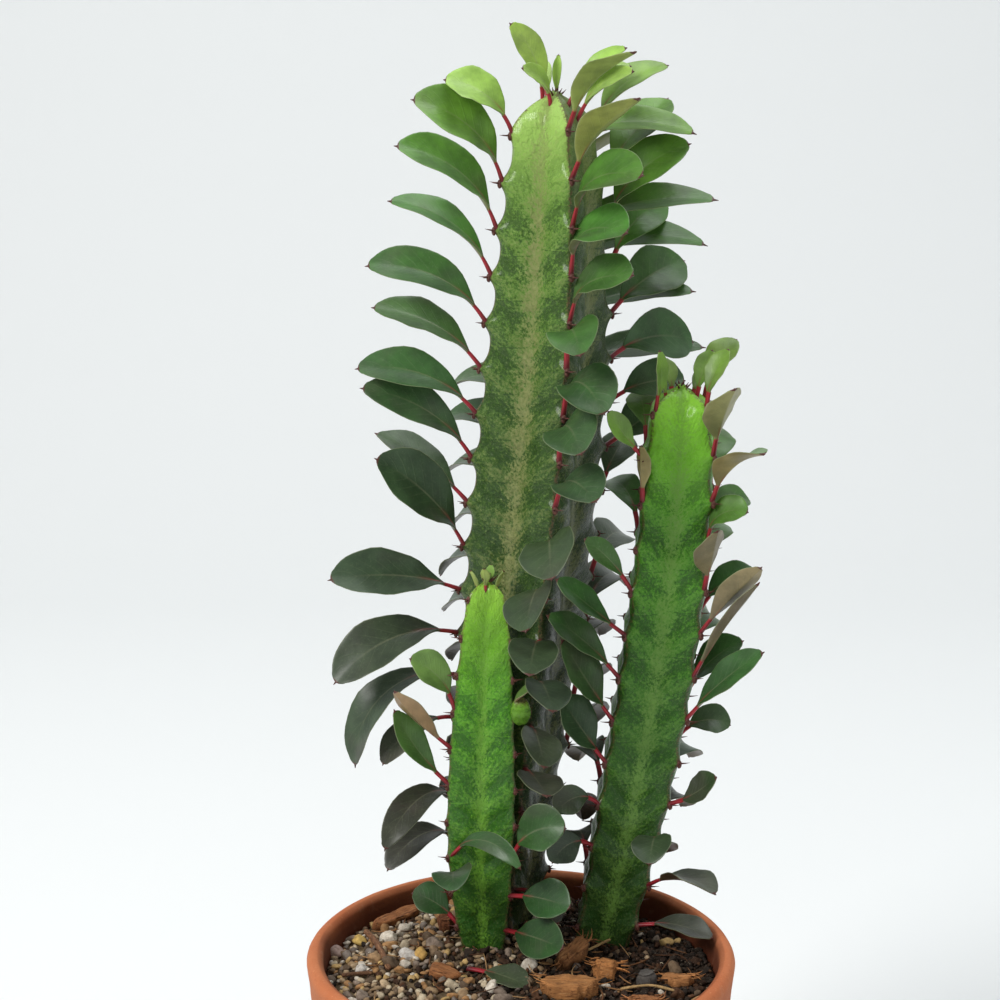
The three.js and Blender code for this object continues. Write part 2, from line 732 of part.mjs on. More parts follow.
function crownLeaf(stem, { azimuth, below, ...pose }) {
  const z = stemTop(stem) - below;
  const [x, y] = axisAt(stem, z);
  const r = 0.55 * girthAt(stem, z);
  const root = [x + r * Math.cos(radians(azimuth)), y + r * Math.sin(radians(azimuth)), z - 2];
  return { root, hold: 0.1, bend: 1, ...pose };
}

// Elevation of a leaf's axis at a share of its length, degrees.
function elevation(leaf, share) {
  const bent = Math.max(0, share - leaf.hold) / (1 - leaf.hold);
  return leaf.rise + (leaf.tip - leaf.rise) * (1 - Math.pow(1 - bent, leaf.bend));
}

// Half the width of a blade at share u of its length.
function halfWidth(leaf, u) {
  const p = Math.log(0.5) / Math.log(LEAF.widest);
  const bulge = Math.pow(Math.sin(Math.PI * Math.pow(u, p)), LEAF.bluntness);
  return (leaf.width / 2) * bulge;
}

// Points and directions along a leaf's axis: an arc whose elevation runs from rise to tip.
function leafFrames(leaf, shares) {
  const steps = 24;
  const yaw = radians(leaf.yaw);
  const frames = [];
  let [x, y, z] = leaf.root;
  let done = 0;
  for (const share of shares) {
    const count = Math.max(1, Math.round((share - done) * steps));
    const step = (share - done) / count;
    for (let i = 0; i < count && share > done; i++) {
      const middle = done + (i + 0.5) * step;
      const e = radians(elevation(leaf, middle));
      x += leaf.length * step * Math.cos(e) * Math.cos(yaw);
      y += leaf.length * step * Math.cos(e) * Math.sin(yaw);
      z += leaf.length * step * Math.sin(e);
    }
    done = share;
    const e = radians(elevation(leaf, share));
    const t = [Math.cos(e) * Math.cos(yaw), Math.cos(e) * Math.sin(yaw), Math.sin(e)];
    const flat = [-Math.sin(yaw), Math.cos(yaw), 0];
    const up = cross(t, flat);
    const roll = radians(leaf.roll) * Math.min(1, share / 0.35);
    const side = flat.map((v, i) => v * Math.cos(roll) + up[i] * Math.sin(roll));
    frames.push({ point: [x, y, z], t, side, up: cross(t, side) });
  }
  return frames;
}

function cross(a, b) {
  return [
    a[1] * b[2] - a[2] * b[1],
    a[2] * b[0] - a[0] * b[2],
    a[0] * b[1] - a[1] * b[0],
  ];
}

// Six points round a leaf: its lower face and then its upper face. Where it has no edge, as on the
// stalk, the two points on each side are one. At the tip only the midrib's two points are left.
function leafRing(frame, half, thickness, fold, edge) {
  const at = (s, n) => frame.point.map((v, i) => v + frame.side[i] * s + frame.up[i] * n);
  const out = half * Math.cos(radians(fold));
  const lift = half * Math.sin(radians(fold));
  const t = thickness / 2;
  const e = edge / 2;
  return [
    at(-out, lift - e),
    at(0, -t),
    at(out, lift - e),
    at(out, lift + e),
    at(0, t),
    at(-out, lift + e),
  ];
}

// A leaf, or the room it takes up when margin is added all round.
function leafSolid(leaf, margin = 0) {
  const stalk = Math.min(LEAF.petiole, leaf.length * 0.3) / leaf.length;
  const shares = [0];
  for (const u of BLADE_STATIONS) shares.push(stalk + u * (1 - stalk));
  shares.push(1);
  const frames = leafFrames(leaf, shares);
  const halfStalk = Math.min(LEAF.petioleWidth, leaf.width * 0.3) / 2 + margin;
  const stalkDepth = LEAF.petioleThickness + 2 * margin;
  const thickness = LEAF.thickness + 2 * margin;
  const rings = [leafRing(frames[0], halfStalk, stalkDepth, 0, 0)];
  rings.push(leafRing(frames[1], halfStalk, stalkDepth * 0.7, 0, 0));
  for (let i = 1; i < BLADE_STATIONS.length; i++) {
    const u = BLADE_STATIONS[i];
    const half = halfWidth(leaf, u) + margin;
    rings.push(leafRing(frames[i + 1], half, thickness, LEAF.fold * (1 - 0.5 * u), thickness));
  }
  rings.push(leafRing(frames.at(-1), 0, thickness, 0, thickness));
  return loft(rings, [3, 4]);
}

function spineSolid(point, azimuth, lift) {
  const a = radians(azimuth);
  const e = radians(lift);
  const t = [Math.cos(e) * Math.cos(a), Math.cos(e) * Math.sin(a), Math.sin(e)];
  const side = [-Math.sin(a), Math.cos(a), 0];
  const up = cross(t, side);
  const at = (l, s, n) => point.map((v, i) => v + t[i] * l + side[i] * s + up[i] * n);
  const r = SPINE.radius;
  const positions = [
    at(-SPINE.root, r, -r * 0.6),
    at(-SPINE.root, 0, r),
    at(-SPINE.root, -r, -r * 0.6),
    at(SPINE.length, 0, 0),
  ].flat();
  return solidFrom(positions, [0, 2, 1, 0, 1, 3, 1, 2, 3, 2, 0, 3]);
}

// A young side shoot: a round bud seated on a rib's margin, its middle that far out from the teeth.
function shootSolid(stem, { rib, tooth, out, width, height }) {
  const { point } = toothPoint(stem, rib, tooth, -out);
  const geometry = new THREE.SphereGeometry(0.5, SHOOT_FACETS.around, SHOOT_FACETS.up);
  geometry.rotateX(Math.PI / 2);
  geometry.scale(width, width, height);
  geometry.translate(...point);
  return solidOfGeometry(geometry);
}

function makeStem(name) {
  const stem = STEMS[name];
  const parts = [stemCore(stem)];
  for (let rib = 0; rib < stem.ribs.length; rib++) {
    for (let k = 0; k < toothCount(stem); k++) {
      const { point, azimuth } = toothPoint(stem, rib, k, 0.4);
      if (k % SPINE.everyTooth === 0 && !stem.bareRibs?.includes(rib)) {
        parts.push(spineSolid(point, azimuth - SPINE.spread, -8));
        parts.push(spineSolid(point, azimuth + SPINE.spread, -8));
      }
      const leaf = leafAt(name, rib, k);
      if (leaf) parts.push(leafSolid(leaf));
    }
  }
  for (const young of CROWNS[name]) parts.push(leafSolid(crownLeaf(stem, young)));
  for (const shoot of stem.shoots ?? []) parts.push(shootSolid(stem, shoot));
  return oneBody(wasm.Manifold.union(parts));
}

// ---------------------------------------------------------------- potting mix and what lies on it

// Height of the mix without its grain: it slopes up from the wall to the heap round the stems.
function mixHeight(x, y) {
  const f = Math.min(Math.hypot(x, y) / (POT.rimRadius - POT.wall), 1);
  const hollow = MIX.hollow.depth * Math.exp(-(
    ((x - MIX.hollow.x) ** 2 + (y - MIX.hollow.y) ** 2) / MIX.hollow.reach ** 2
  ));
  return MIX.crownHeight + (MIX.edgeHeight - MIX.crownHeight) * f * f - hollow;
}

function makeMix() {
  const random = seeded(311);
  const n = MIX.facets;
  const wallAt = (z) => potRadius(z) - POT.wall - MIX.wallClear;
  const bottom = POT.floor + MIX.clear;
  const positions = [0, 0, bottom];
  const ring = (radius, z, uneven) => {
    for (let j = 0; j < n; j++) {
      const a = (2 * Math.PI * j) / n;
      const x = radius * Math.cos(a);
      const y = radius * Math.sin(a);
      const grain = uneven ? MIX.grain * (2 * random() - 1) : 0;
      positions.push(x, y, (z ?? mixHeight(x, y)) + grain);
    }
  };
  const edge = wallAt(MIX.edgeHeight);
  ring(wallAt(bottom), bottom, false);
  ring(wallAt(POT.height / 2) , POT.height / 2, false);
  ring(edge, null, false);
  for (let i = MIX.rings - 1; i > 0; i--) ring((edge * i) / MIX.rings, null, true);
  positions.push(0, 0, mixHeight(0, 0));
  const faces = [];
  for (let j = 0; j < n; j++) faces.push(0, 1 + ((j + 1) % n), 1 + j);
  for (let i = 0; i < MIX.rings + 1; i++) {
    for (let j = 0; j < n; j++) {
      const a = 1 + i * n + j;
      const b = 1 + i * n + ((j + 1) % n);
      faces.push(a, b, b + n, a, b + n, a + n);
    }
  }
  const inner = 1 + (MIX.rings + 1) * n;
  for (let j = 0; j < n; j++) faces.push(inner + j, inner + ((j + 1) % n), inner + n);
  return solidFrom(positions, faces);
}

// A chip, or its plain pocket when margin is added all round.
function chipSolid(chip, margin = 0) {
  const random = seeded(chip.seed);
  const [length, width, height] = chip.size;
  const outline = [];
  for (let i = 0; i < chip.corners; i++) {
    const a = (2 * Math.PI * (i + 0.5 * random())) / chip.corners;
    const reach = 1 - CHIP.unevenness * random();
    const x = (length / 2) * reach + margin;
    const y = (width / 2) * reach + margin;
    outline.push(new THREE.Vector2(x * Math.cos(a), y * Math.sin(a)));
  }
  const geometry = new THREE.ExtrudeGeometry(new THREE.Shape(outline), {
    depth: margin === 0 ? height - 2 * CHIP.bevel : height + 2 * margin,
    bevelThickness: CHIP.bevel,
    bevelSize: CHIP.bevel,
    bevelOffset: -CHIP.bevel,
    bevelSegments: 1,
    bevelEnabled: margin === 0,
  });
  geometry.center();
  geometry.rotateX(radians(chip.tilt[1]));
  geometry.rotateY(radians(-chip.tilt[0]));
  geometry.rotateZ(radians(chip.turn));
  const [x, y] = chip.middle;
  geometry.translate(x, y, mixHeight(x, y) + chip.lift);
  return solidOfGeometry(geometry);
}

// A twig, or its trough when margin is added all round.
function twigSolid(twig, margin = 0) {
  const points = twig.path.map(([x, y, up]) => new THREE.Vector3(x, y, mixHeight(x, y) + up));
  for (const [end, next] of [[0, 1], [points.length - 1, points.length - 2]]) {
    const outward = points[end].clone().sub(points[next]).normalize();
    points[end].addScaledVector(outward, margin);
  }
  const section = new THREE.Shape();
  for (let i = 0; i < TWIG.sides; i++) {
    const a = (2 * Math.PI * i) / TWIG.sides;
    const r = twig.radius + 1.3 * margin;
    if (i === 0) section.moveTo(r, 0);
    else section.lineTo(r * Math.cos(a), r * Math.sin(a));
  }
  const geometry = new THREE.ExtrudeGeometry(section, {
    steps: TWIG.steps,
    extrudePath: new THREE.CatmullRomCurve3(points),
  });
  return solidOfGeometry(geometry);
}

function fallenLeaf(margin = 0) {
  const yaw = radians(FALLEN_LEAF.yaw);
  const [x, y, z] = FALLEN_LEAF.root;
  const root = [x - margin * Math.cos(yaw), y - margin * Math.sin(yaw), z];
  return leafSolid({ ...FALLEN_LEAF, root, length: FALLEN_LEAF.length + 2 * margin }, margin);
}

// The plain hole that a stem stands in, a little wider than the stem.
function stemHole(stem) {
  const foot = stemFoot(stem);
  const wide = { ...stem, valley: stem.valley + 0.03 };
  const ring = (z) => {
    const [x, y] = axisAt(stem, z);
    const grow = 1 + (2.5 * MIX.clear) / girthAt(stem, z);
    return stemRing(wide, z, false, 0).map(([px, py]) => [x + (px - x) * grow, y + (py - y) * grow, z]);
  };
  const low = foot - stem.rootLength;
  const top = ring(foot - 3);
  const rings = [ring(low).map(([x, y]) => [x, y, low - MIX.clear]), top];
  rings.push(top.map(([x, y]) => [x, y, foot + 8]));
  return loft(rings);
}

// ---------------------------------------------------------------- the part

const finish = (color, roughness) =>
  new THREE.MeshStandardMaterial({ color, roughness, metalness: 0 });

const group = new THREE.Group();
group.position.set(...POT_AXIS);
group.add(meshOf("pot", makePot(), finish(0xc46a3d, 0.85)));

let mix = makeMix();
for (const stem of Object.values(STEMS)) mix = mix.subtract(stemHole(stem));
for (const chip of Object.values(CHIPS)) mix = mix.subtract(chipSolid(chip, POCKET_GAP));
for (const twig of Object.values(TWIGS)) mix = mix.subtract(twigSolid(twig, POCKET_GAP));
mix = mix.subtract(fallenLeaf(POCKET_GAP));
group.add(meshOf("potting_mix", oneBody(mix), finish(0x6f6255, 0.95)));

for (const [name, stem] of Object.entries(STEMS)) {
  group.add(meshOf(name, makeStem(name), finish(stem.color, 0.5)));
}
for (const [name, chip] of Object.entries(CHIPS)) {
  group.add(meshOf(name, chipSolid(chip), finish(chip.color, 0.9)));
}
for (const [name, twig] of Object.entries(TWIGS)) {
  group.add(meshOf(name, twigSolid(twig), finish(twig.color, 0.85)));
}
group.add(meshOf("fallen_leaf", fallenLeaf(), finish(0x39442f, 0.5)));

export default group;
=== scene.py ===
# The looks of a potted euphorbia: ribbed stems with stalked leaves, gritty mix and a clay pot.
# Shapes are worked out in millimetres with the pot's axis at x = y = 0, and then placed in metres.
import json
import math

import bmesh
import bpy
import numpy as np
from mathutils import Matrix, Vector, noise

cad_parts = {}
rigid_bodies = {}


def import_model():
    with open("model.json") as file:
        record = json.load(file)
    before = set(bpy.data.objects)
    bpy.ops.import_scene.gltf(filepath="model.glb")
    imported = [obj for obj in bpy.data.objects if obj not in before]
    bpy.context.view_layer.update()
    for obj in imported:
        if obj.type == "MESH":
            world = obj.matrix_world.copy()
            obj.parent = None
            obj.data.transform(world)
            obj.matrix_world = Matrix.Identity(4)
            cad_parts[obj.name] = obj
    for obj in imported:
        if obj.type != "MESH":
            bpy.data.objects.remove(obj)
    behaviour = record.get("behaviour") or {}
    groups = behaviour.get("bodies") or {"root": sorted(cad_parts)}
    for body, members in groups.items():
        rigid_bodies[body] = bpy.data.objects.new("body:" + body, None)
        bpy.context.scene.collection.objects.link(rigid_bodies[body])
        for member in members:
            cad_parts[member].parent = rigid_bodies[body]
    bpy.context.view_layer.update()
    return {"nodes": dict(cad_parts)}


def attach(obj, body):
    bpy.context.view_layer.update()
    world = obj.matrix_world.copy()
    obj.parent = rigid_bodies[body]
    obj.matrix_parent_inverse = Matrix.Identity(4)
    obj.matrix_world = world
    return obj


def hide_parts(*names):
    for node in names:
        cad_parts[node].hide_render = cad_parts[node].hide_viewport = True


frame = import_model()

# ---------------------------------------------------------------- driving dimensions, mm

MM = 0.001
UP = np.array([0.0, 0.0, 1.0])
POT_AXIS = np.array([-4.0, -5.0, 0.0])  # where the pot's axis stands in the part's frame

POT = {
    "height": 140, "rim": 80, "foot": 61, "wall": 6, "floor": 9, "drain": 8, "foot_round": 2.5,
    "belly": 1.2, "facets": 160,
}
MIX = {
    "edge": 130, "crown": 134.5, "clear": 0.6, "floor_clear": 0.35, "rings": 46, "facets": 150,
    "hollow": {"x": 48, "y": 36, "depth": 2.5, "reach": 26},
}
TOOTH_SHARPNESS = 1.4
SPINE = {"length": 3.9, "radius": 0.42, "spread": 38, "root": 1.2, "sag": -8}
LEAF = {
    "petiole": 8, "petiole_width": 2, "petiole_thickness": 1.8, "thickness": 0.85, "root": 1.8,
    "fold": 24, "widest": 0.58, "bluntness": 0.62, "mucro": 1.3, "mucro_length": 0.03, "sway": 0.025,
    "ripple": 0.045,
}

# Each stem's axis and girth are cubic Bezier curves from the surface of the mix to the apex.
STEMS = {
    "stem_tall": {
        "number": 1,
        "axis": [(-6.5, 42, 131), (-4.2, 42.5, 238), (16.1, 37, 345), (12, 35, 452)],
        "girth": (17, 30, 33, 18), "ribs": (195, 285, 27, 98), "twist": -5, "valley": 0.55,
        "crown": 7, "root_length": 34, "pitch": 16.9, "top_tooth": 14,
        "notch": 3.8, "phase": (0, -0.12, -0.06, 0.45), "bare_ribs": (),
    },
    "stem_right": {
        "number": 2,
        "axis": [(32.3, 30, 132), (47, 30, 204), (59, 28.5, 276), (58.5, 27, 347)],
        "girth": (16, 23, 20.5, 18), "ribs": (221, 311, 41, 131), "twist": 0, "valley": 0.58,
        "crown": 5, "root_length": 30, "pitch": 16.6, "top_tooth": 7,
        "notch": 3.2, "phase": (0.06, 0, -0.05, 0.05), "bare_ribs": (),
    },
    "stem_short": {
        "number": 3,
        "axis": [(-14, 16.4, 132), (-16.5, 16.4, 181), (-13.5, 15.4, 229), (-12.5, 14.4, 277.5)],
        "girth": (9.4, 20, 13.8, 9), "ribs": (210, 330, 90), "twist": 0, "valley": 0.44,
        "crown": 3.5, "root_length": 26, "pitch": 14.2, "top_tooth": 6,
        "notch": 1.0, "phase": (0, 0.12, 0.3), "bare_ribs": (2,),
        "shoots": [dict(rib=1, tooth=2.8, out=2.2, width=8.5, height=11)],
    },
}

# Leaf habit of each rib, evenly spaced from the mix to the apex: yaw from the rib's azimuth, rise and
# tip as elevations of the leaf's axis, roll about it, length and width. Degrees and millimetres.
HABITS = {
    "stem_tall": [dict(
        yaw=(20, 32, 1, -10, -13, -6, -8), rise=(20, 34, 12, 55, 53, 65, 66),
        tip=(-60, -56, -60, 25, -2, 6, 22), roll=(-30, -28, -30, -45, -38, -36, -36),
        length=(38, 48, 57, 48, 46, 50, 38), width=(15, 15, 20, 21, 19, 21, 19), hold=0.08, bend=1.15,
    ), dict(
        yaw=(4, -7, -14, -5, 3, 30, 25), rise=(20, 14, 18, 50, 80, 76, 60),
        tip=(-30, -4, -14, -30, -34, 0, 25), roll=(0, -12, -4, 28, 26, 38, 0),
        length=(30, 40, 44, 36, 37, 38, 44), width=(15, 18, 19, 21, 21, 20, 18), hold=0.2, bend=2.2,
    ), dict(
        yaw=(40, 44, 44, 38, 10, 14, -10), rise=(50, 56, 56, 46, 30, 58, 66),
        tip=(-80, -70, -50, -10, 0, 10, 24), roll=(0, 6, 12, 30, 46, 40, 20),
        length=(36, 40, 42, 36, 38, 43, 38), width=(17, 18, 19, 19, 20, 20, 17), hold=0.12, bend=1.2,
    ), dict(
        yaw=(30, 40, 48, 54, 56, 54, 48), rise=(30, 42, 50, 58, 62, 68, 76),
        tip=(-85, -80, -60, -40, -22, -6, 12), roll=(0, -8, -14, -16, -16, -12, -6),
        length=(34, 38, 42, 44, 44, 42, 38), width=(18, 20, 20, 20, 19, 18, 16), hold=0.12, bend=1.1,
    )],
    "stem_right": [dict(
        yaw=(-6, -18, -20, -35, -20), rise=(36, 50, 50, 60, 86),
        tip=(-60, 20, 40, 40, 84), roll=(-50, -52, -40, -50, -60),
        length=(22, 32, 36, 27, 22), width=(13, 18, 16, 10, 8), hold=0.1, bend=1,
    ), dict(
        yaw=(20, 0, 20, 0, 20), rise=(34, 40, 60, 74, 84),
        tip=(-40, -10, 44, 20, 50), roll=(-10, 20, 10, 20, 24),
        length=(32, 30, 40, 32, 26), width=(16, 16, 14, 16, 11), hold=0.15, bend=1.2,
    ), dict(
        yaw=(-20, -22, -24, -18, -8), rise=(40, 50, 56, 66, 78),
        tip=(-80, -65, -45, -20, 25), roll=(24, 30, 40, 36, 20),
        length=(32, 36, 40, 38, 28), width=(17, 18, 19, 17, 12), hold=0.12, bend=1.1,
    ), dict(
        yaw=(-24, -24, -22, -16, 10), rise=(50, 56, 60, 70, 80),
        tip=(-70, -60, -40, -10, 40), roll=(-10, -10, -10, -10, -10),
        length=(30, 32, 34, 32, 26), width=(16, 17, 17, 15, 11), hold=0.12, bend=1.1,
    )],
    "stem_short": [dict(
        yaw=(-16, -14, -10, 0), rise=(60, 48, 70, 86),
        tip=(-10, 60, 30, 80), roll=(-40, -50, -40, 0),
        length=(34, 38, 28, 8), width=(13, 13, 12, 4), hold=0.15, bend=1,
    ), dict(
        yaw=(-14, -14, -10, 0), rise=(20, 50, 76, 86),
        tip=(-10, 0, 20, 80), roll=(40, 50, 20, 0),
        length=(32, 30, 18, 8), width=(17, 17, 9, 4), hold=0.12, bend=1.1,
    )],
}

# Teeth that have lost their leaf, by stem and rib, counted down from the apex.
BARE_TEETH = {
    "stem_tall": [(14, 17), (15, 16), (9, 15, 17), ()],
    "stem_right": [(3, 11, 12), (8,), (1, 12), (0, 2, 4, 5, 6, 7, 8, 10, 12)],
    "stem_short": [(0, 1, 2, 6), (0, 1, 2, 4, 5, 6)],
}

# What a leaf's pose holds, in the order of the rows below.
POSE = ("yaw", "rise", "tip", "roll", "length", "width")

# Leaves that stand out from their rib's habit, by tooth; None keeps the habit's own value. A yaw here
# is an azimuth in the part's frame.
EXCEPTIONS = {
    "stem_tall": [{
        0: (None, None, None, None, 33, None),
        1: (None, 71, 11, -50, 46, 23),
        3: (180, 65, 8, -26, 48, 17),
        6: (182, 48, -6, -41, 49, 19),
        7: (187, 57, 9, -50, 50, 18),
        8: (168, 46, 24, -12, 43, 21),
        9: (208, 60, 32, -66, 52, 24),
        10: (207, 23, -4, -42, 54, 22),
        11: (201, 13, -45, -37, 54, 22),
        12: (197, 11, -88, -22, 60, 18),
        13: (None, 8, -60, None, 36, 13),
        15: (235, 37, -56, -28, 50, 13),
        16: (227, 40, -45, -20, 42, 14),
    }, {
        1: (310, 60, 25, 0, 46, 19),
        2: (316, 73, 0, 42, 44, 21),
        3: (316, 84, -6, 35, 38, 22),
        4: (326, 75, 5, 38, 36, 21),
        5: (280, 85, -30, 22, 40, 20),
        6: (300, 77, -38, 26, 39, 22),
        7: (287, 84, -32, 32, 39, 22),
        8: (298, 64, -22, 25, 36, 20),
        9: (269, 38, -32, 28, 40, 23),
        10: (257, 32, -36, 30, 38, 22),
        11: (264, 14, -8, -6, 48, 19),
        12: (280, 22, -16, -10, 36, 18),
        13: (278, 12, -24, -20, 34, 17),
        14: (281, 8, 2, -10, 40, 18),
        17: (312, None, -40, None, 27, 14),
    }, {
        1: (45, 46, 30, 12, 44, 22),
        2: (5, 68, 16, 45, 43, 20),
        3: (50, 58, 0, 48, 44, 16),
        4: (45, 35, 5, 45, 46, 22),
        5: (37, 26, -18, 60, 43, 22),
        6: (-2, 36, -5, 46, 31, 19),
        7: (35, 24, 28, 38, 31, 18),
        8: (60, 50, 20, 20, 30, 15),
    }, {
        0: (-6, 32, -20, 30, 56, 17),
        1: (20, 50, 4, -16, 55, 18),
        2: (-6, 32, -5, 30, 66, 17),
        3: (0, 44, -20, 30, 66, 17),
        4: (6, 32, -5, 30, 61, 17),
        5: (12, 20, -5, 30, 66, 17),
        17: (104, 74, 40, 0, 30, 15),
    }],
    "stem_right": [{
        0: (None, 100, 88, None, 23, 8),
        1: (187, 45, 58, -55, 23, 10),
        2: (250, 84, 88, -30, 22, 8),
        4: (181, 60, 33, -53, 27, 10),
        5: (185, 38, 41, -31, 34, 15),
        6: (186, 50, 33, -36, 37, 16),
        7: (198, 55, 62, -50, 39, 21),
        8: (199, 53, 58, -54, 33, 20),
        9: (205, 44, -55, -53, 21, 12),
        10: (215, 36, -60, -58, 22, 13),
    }, {
        0: (20, 84, 50, None, 24, 10),
        1: (295, 74, 50, 16, 31, 18),
        2: (309, 66, 11, 0, 36, 19),
        3: (332, 88, -5, 41, 25, 14),
        4: (283, 64, 64, 30, 28, 16),
        5: (337, 55, 45, -44, 36, 13),
        6: (337, 63, 53, -20, 45, 8),
        7: (334, 52, 37, 44, 42, 15),
        9: (326, 24, 48, 46, 25, 14),
        10: (259, 44, -43, 9, 27, 16),
        11: (318, 34, -18, -10, 34, 20),
        12: (338, 14, -16, 10, 31, 14),
    }, {
        2: (76, 70, 0, None, 32, None),
        3: (30, None, None, None, 25, 13),
        4: (74, None, None, None, None, None),
        5: (8, 60, 10, None, 28, 14),
        6: (72, None, None, None, None, None),
        7: (352, 63, 27, 40, 32, 16),
        8: (0, 50, -30, 40, 23, 14),
        9: (70, None, None, None, None, None),
        10: (62, None, None, None, 30, None),
        11: (68, None, None, None, 26, None),
    }, {
        1: (98, None, None, None, None, None),
    }],
    "stem_short": [{
        3: (192, 73, 22, -50, 28, 15),
        4: (206, 42, 56, 30, 34, 11),
        5: (192, 46, 70, -52, 37, 13),
        7: (317, 47, -46, 63, 40, 8),
        8: (270, 68, -40, 14, 28, 16),
        9: (172, 50, 10, -40, 22, 14),
    }, {
        3: (330, 76, 30, None, 15, 8),
        7: (336, 67, 3, 60, 30, 19),
        8: (320, 15, -4, 45, 30, 17),
        9: (307, 12, 4, 50, 36, 17),
    }],
}

# Young leaves round each apex: the azimuth and depth under the apex where a leaf grows, and its pose.
CROWNS = {
    "stem_tall": [
        (190, 3, 184, 90, 42, -66, 33, 11),
        (250, 3, 204, 84, 14, -50, 20, 9),
        (80, 2, 60, 90, 84, 0, 18, 4),
        (330, 3, 352, 66, 22, 40, 31, 9),
        (20, 4, 12, 62, 2, 34, 29, 10),
        (345, 8, 340, 68, 8, 40, 29, 11),
        (110, 4, 120, 76, 20, 0, 26, 10),
    ],
    "stem_right": [
        (345, 3, 0, 80, 66, 50, 20, 9),
        (20, 2, 20, 78, 40, 40, 12, 6),
        (200, 3, 190, 76, 70, -40, 13, 5),
        (120, 3, 110, 76, 50, 0, 16, 7),
    ],
    "stem_short": [
        (200, 2, 190, 74, 60, 0, 9, 4),
        (260, 1.5, 250, 86, 80, 0, 9, 4),
        (340, 2, 350, 70, 60, 0, 9, 4),
        (60, 1.5, 60, 84, 80, 0, 9, 4),
    ],
}

BAND_DROP = 11.0  # how far a stem's pale bands sink from a tooth to the middle of the face, mm
BAND_SWELL = 1.3  # how far a band swells over the creases beside it, mm
SHOOT_TIP = (96, 70, 46)
# How far a leaf strays from its rib's habit: degrees, and shares of its length and width.
JITTER = {"yaw": 7, "rise": 5, "tip": 9, "roll": 7, "length": 0.06, "width": 0.06}

# Chips in their pockets: where each lies, how high over the mix, its size, and how it is turned.
CHIPS = {
    "bark_strip": dict(
        slot="bark", colour=(150, 96, 58), middle=(-48.5, 44.5), lift=1.8, size=(31, 7.5, 4),
        turn=47, tilt=(0, 14), corners=8, seed=41,
    ),
    "bark_left": dict(
        slot="bark", colour=(154, 100, 60), middle=(-28, -11), lift=0.8, size=(16, 9, 4.5),
        turn=-24, tilt=(-8, 6), corners=7, seed=42,
    ),
    "bark_behind": dict(
        slot="bark", colour=(122, 74, 46), middle=(-28.5, 33), lift=2.4, size=(9, 8, 8),
        turn=30, tilt=(12, 16), corners=6, seed=43,
    ),
    "husk_large": dict(
        slot="coconut_husk", colour=(170, 116, 68), middle=(17.5, -25), lift=1.6, size=(25, 15, 7),
        turn=-4, tilt=(2, -5), corners=8, seed=44,
    ),
    "husk_upright": dict(
        slot="coconut_husk", colour=(152, 104, 64), middle=(19, 0), lift=2.6, size=(22, 9, 8),
        turn=52, tilt=(10, 18), corners=7, seed=45,
    ),
    "husk_square": dict(
        slot="coconut_husk", colour=(182, 122, 70), middle=(31.5, -10), lift=2, size=(12, 12, 8),
        turn=8, tilt=(-6, -8), corners=5, seed=46,
    ),
    "husk_right": dict(
        slot="coconut_husk", colour=(168, 114, 68), middle=(57.5, -12.5), lift=1, size=(14, 10, 4),
        turn=-12, tilt=(5, -6), corners=7, seed=47,
    ),
    "husk_front": dict(
        slot="coconut_husk", colour=(164, 108, 66), middle=(44, -33), lift=1.2, size=(15, 9, 5),
        turn=6, tilt=(-4, -4), corners=6, seed=48,
    ),
    "stone_grey": dict(
        slot="grey_stone", colour=(96, 92, 88), middle=(46, -15), lift=1.4, size=(9.5, 8.5, 7),
        turn=20, tilt=(6, 4), corners=7, seed=49,
    ),
}
CHIP_UNEVENNESS = 0.16
FRAY = {"count": 15, "radius": 0.3, "lift": 0.9}
TWIGS = {
    "twig_curved": dict(
        path=[(-60, 33, 1.5), (-55.5, 21, 1.6), (-52, 8, 1.5), (-49, -5, 1.2)], radius=1.3,
        colour=(128, 90, 64),
    ),
    "twig_thin": dict(
        path=[(-66.5, -8, 1.7), (-61, -7.4, 1.5), (-55, -7.6, 1.4)], radius=0.8, colour=(104, 72, 50),
    ),
}
FALLEN_LEAF = dict(
    root=(-19.5, -8.5, 135.4), yaw=-34, rise=8, tip=-10, roll=10, length=26, width=14, hold=0, bend=1,
)

# The photograph's viewpoint, in the pot's frame, and its focal length in pixels of a 1000 pixel frame.
CAMERA = {"place": (-7.7, -766, 481), "pitch": 12.5, "focal": 2200, "frame": 1000}


# ---------------------------------------------------------------- numbers

def seeded(seed):
    """A repeatable stream of numbers from 0 to 1, past its first few."""
    state, drawn = seed, 0
    while True:
        state = (state * 16807) % 2147483647
        drawn += 1
        if drawn > 4:
            yield state / 2147483647


def along(values, f):
    """The value at share f of a list whose entries are evenly spaced."""
    x = min(max(f, 0), 1) * (len(values) - 1)
    i = min(int(x), len(values) - 2)
    return values[i] + (values[i + 1] - values[i]) * (x - i)


def bezier(points, t):
    """The cubic curve through the first and last of four points, drawn towards the two between."""
    a, b, c, d = points
    s = 1 - t
    return s**3 * a + 3 * s * s * t * b + 3 * s * t * t * c + t**3 * d


def smooth(low, high, x):
    """0 below low, 1 above high, and an even slope between them."""
    t = np.clip((x - low) / (high - low), 0, 1)
    return t * t * (3 - 2 * t)


def linear(colour):
    """A colour given as 0 to 255 on screen, as the light that it stands for: the sRGB curve."""
    c = np.asarray(colour, float) / 255
    return np.where(c <= 0.04045, c / 12.92, ((c + 0.055) / 1.055) ** 2.4)


def blend_colours(stops, f):
    """The colour at f, from (place, colour) stops in order."""
    places = [place for place, _ in stops]
    colours = np.array([linear(colour) for _, colour in stops])
    return np.array([np.interp(f, places, colours[:, i]) for i in range(3)]).T


# ---------------------------------------------------------------- meshes

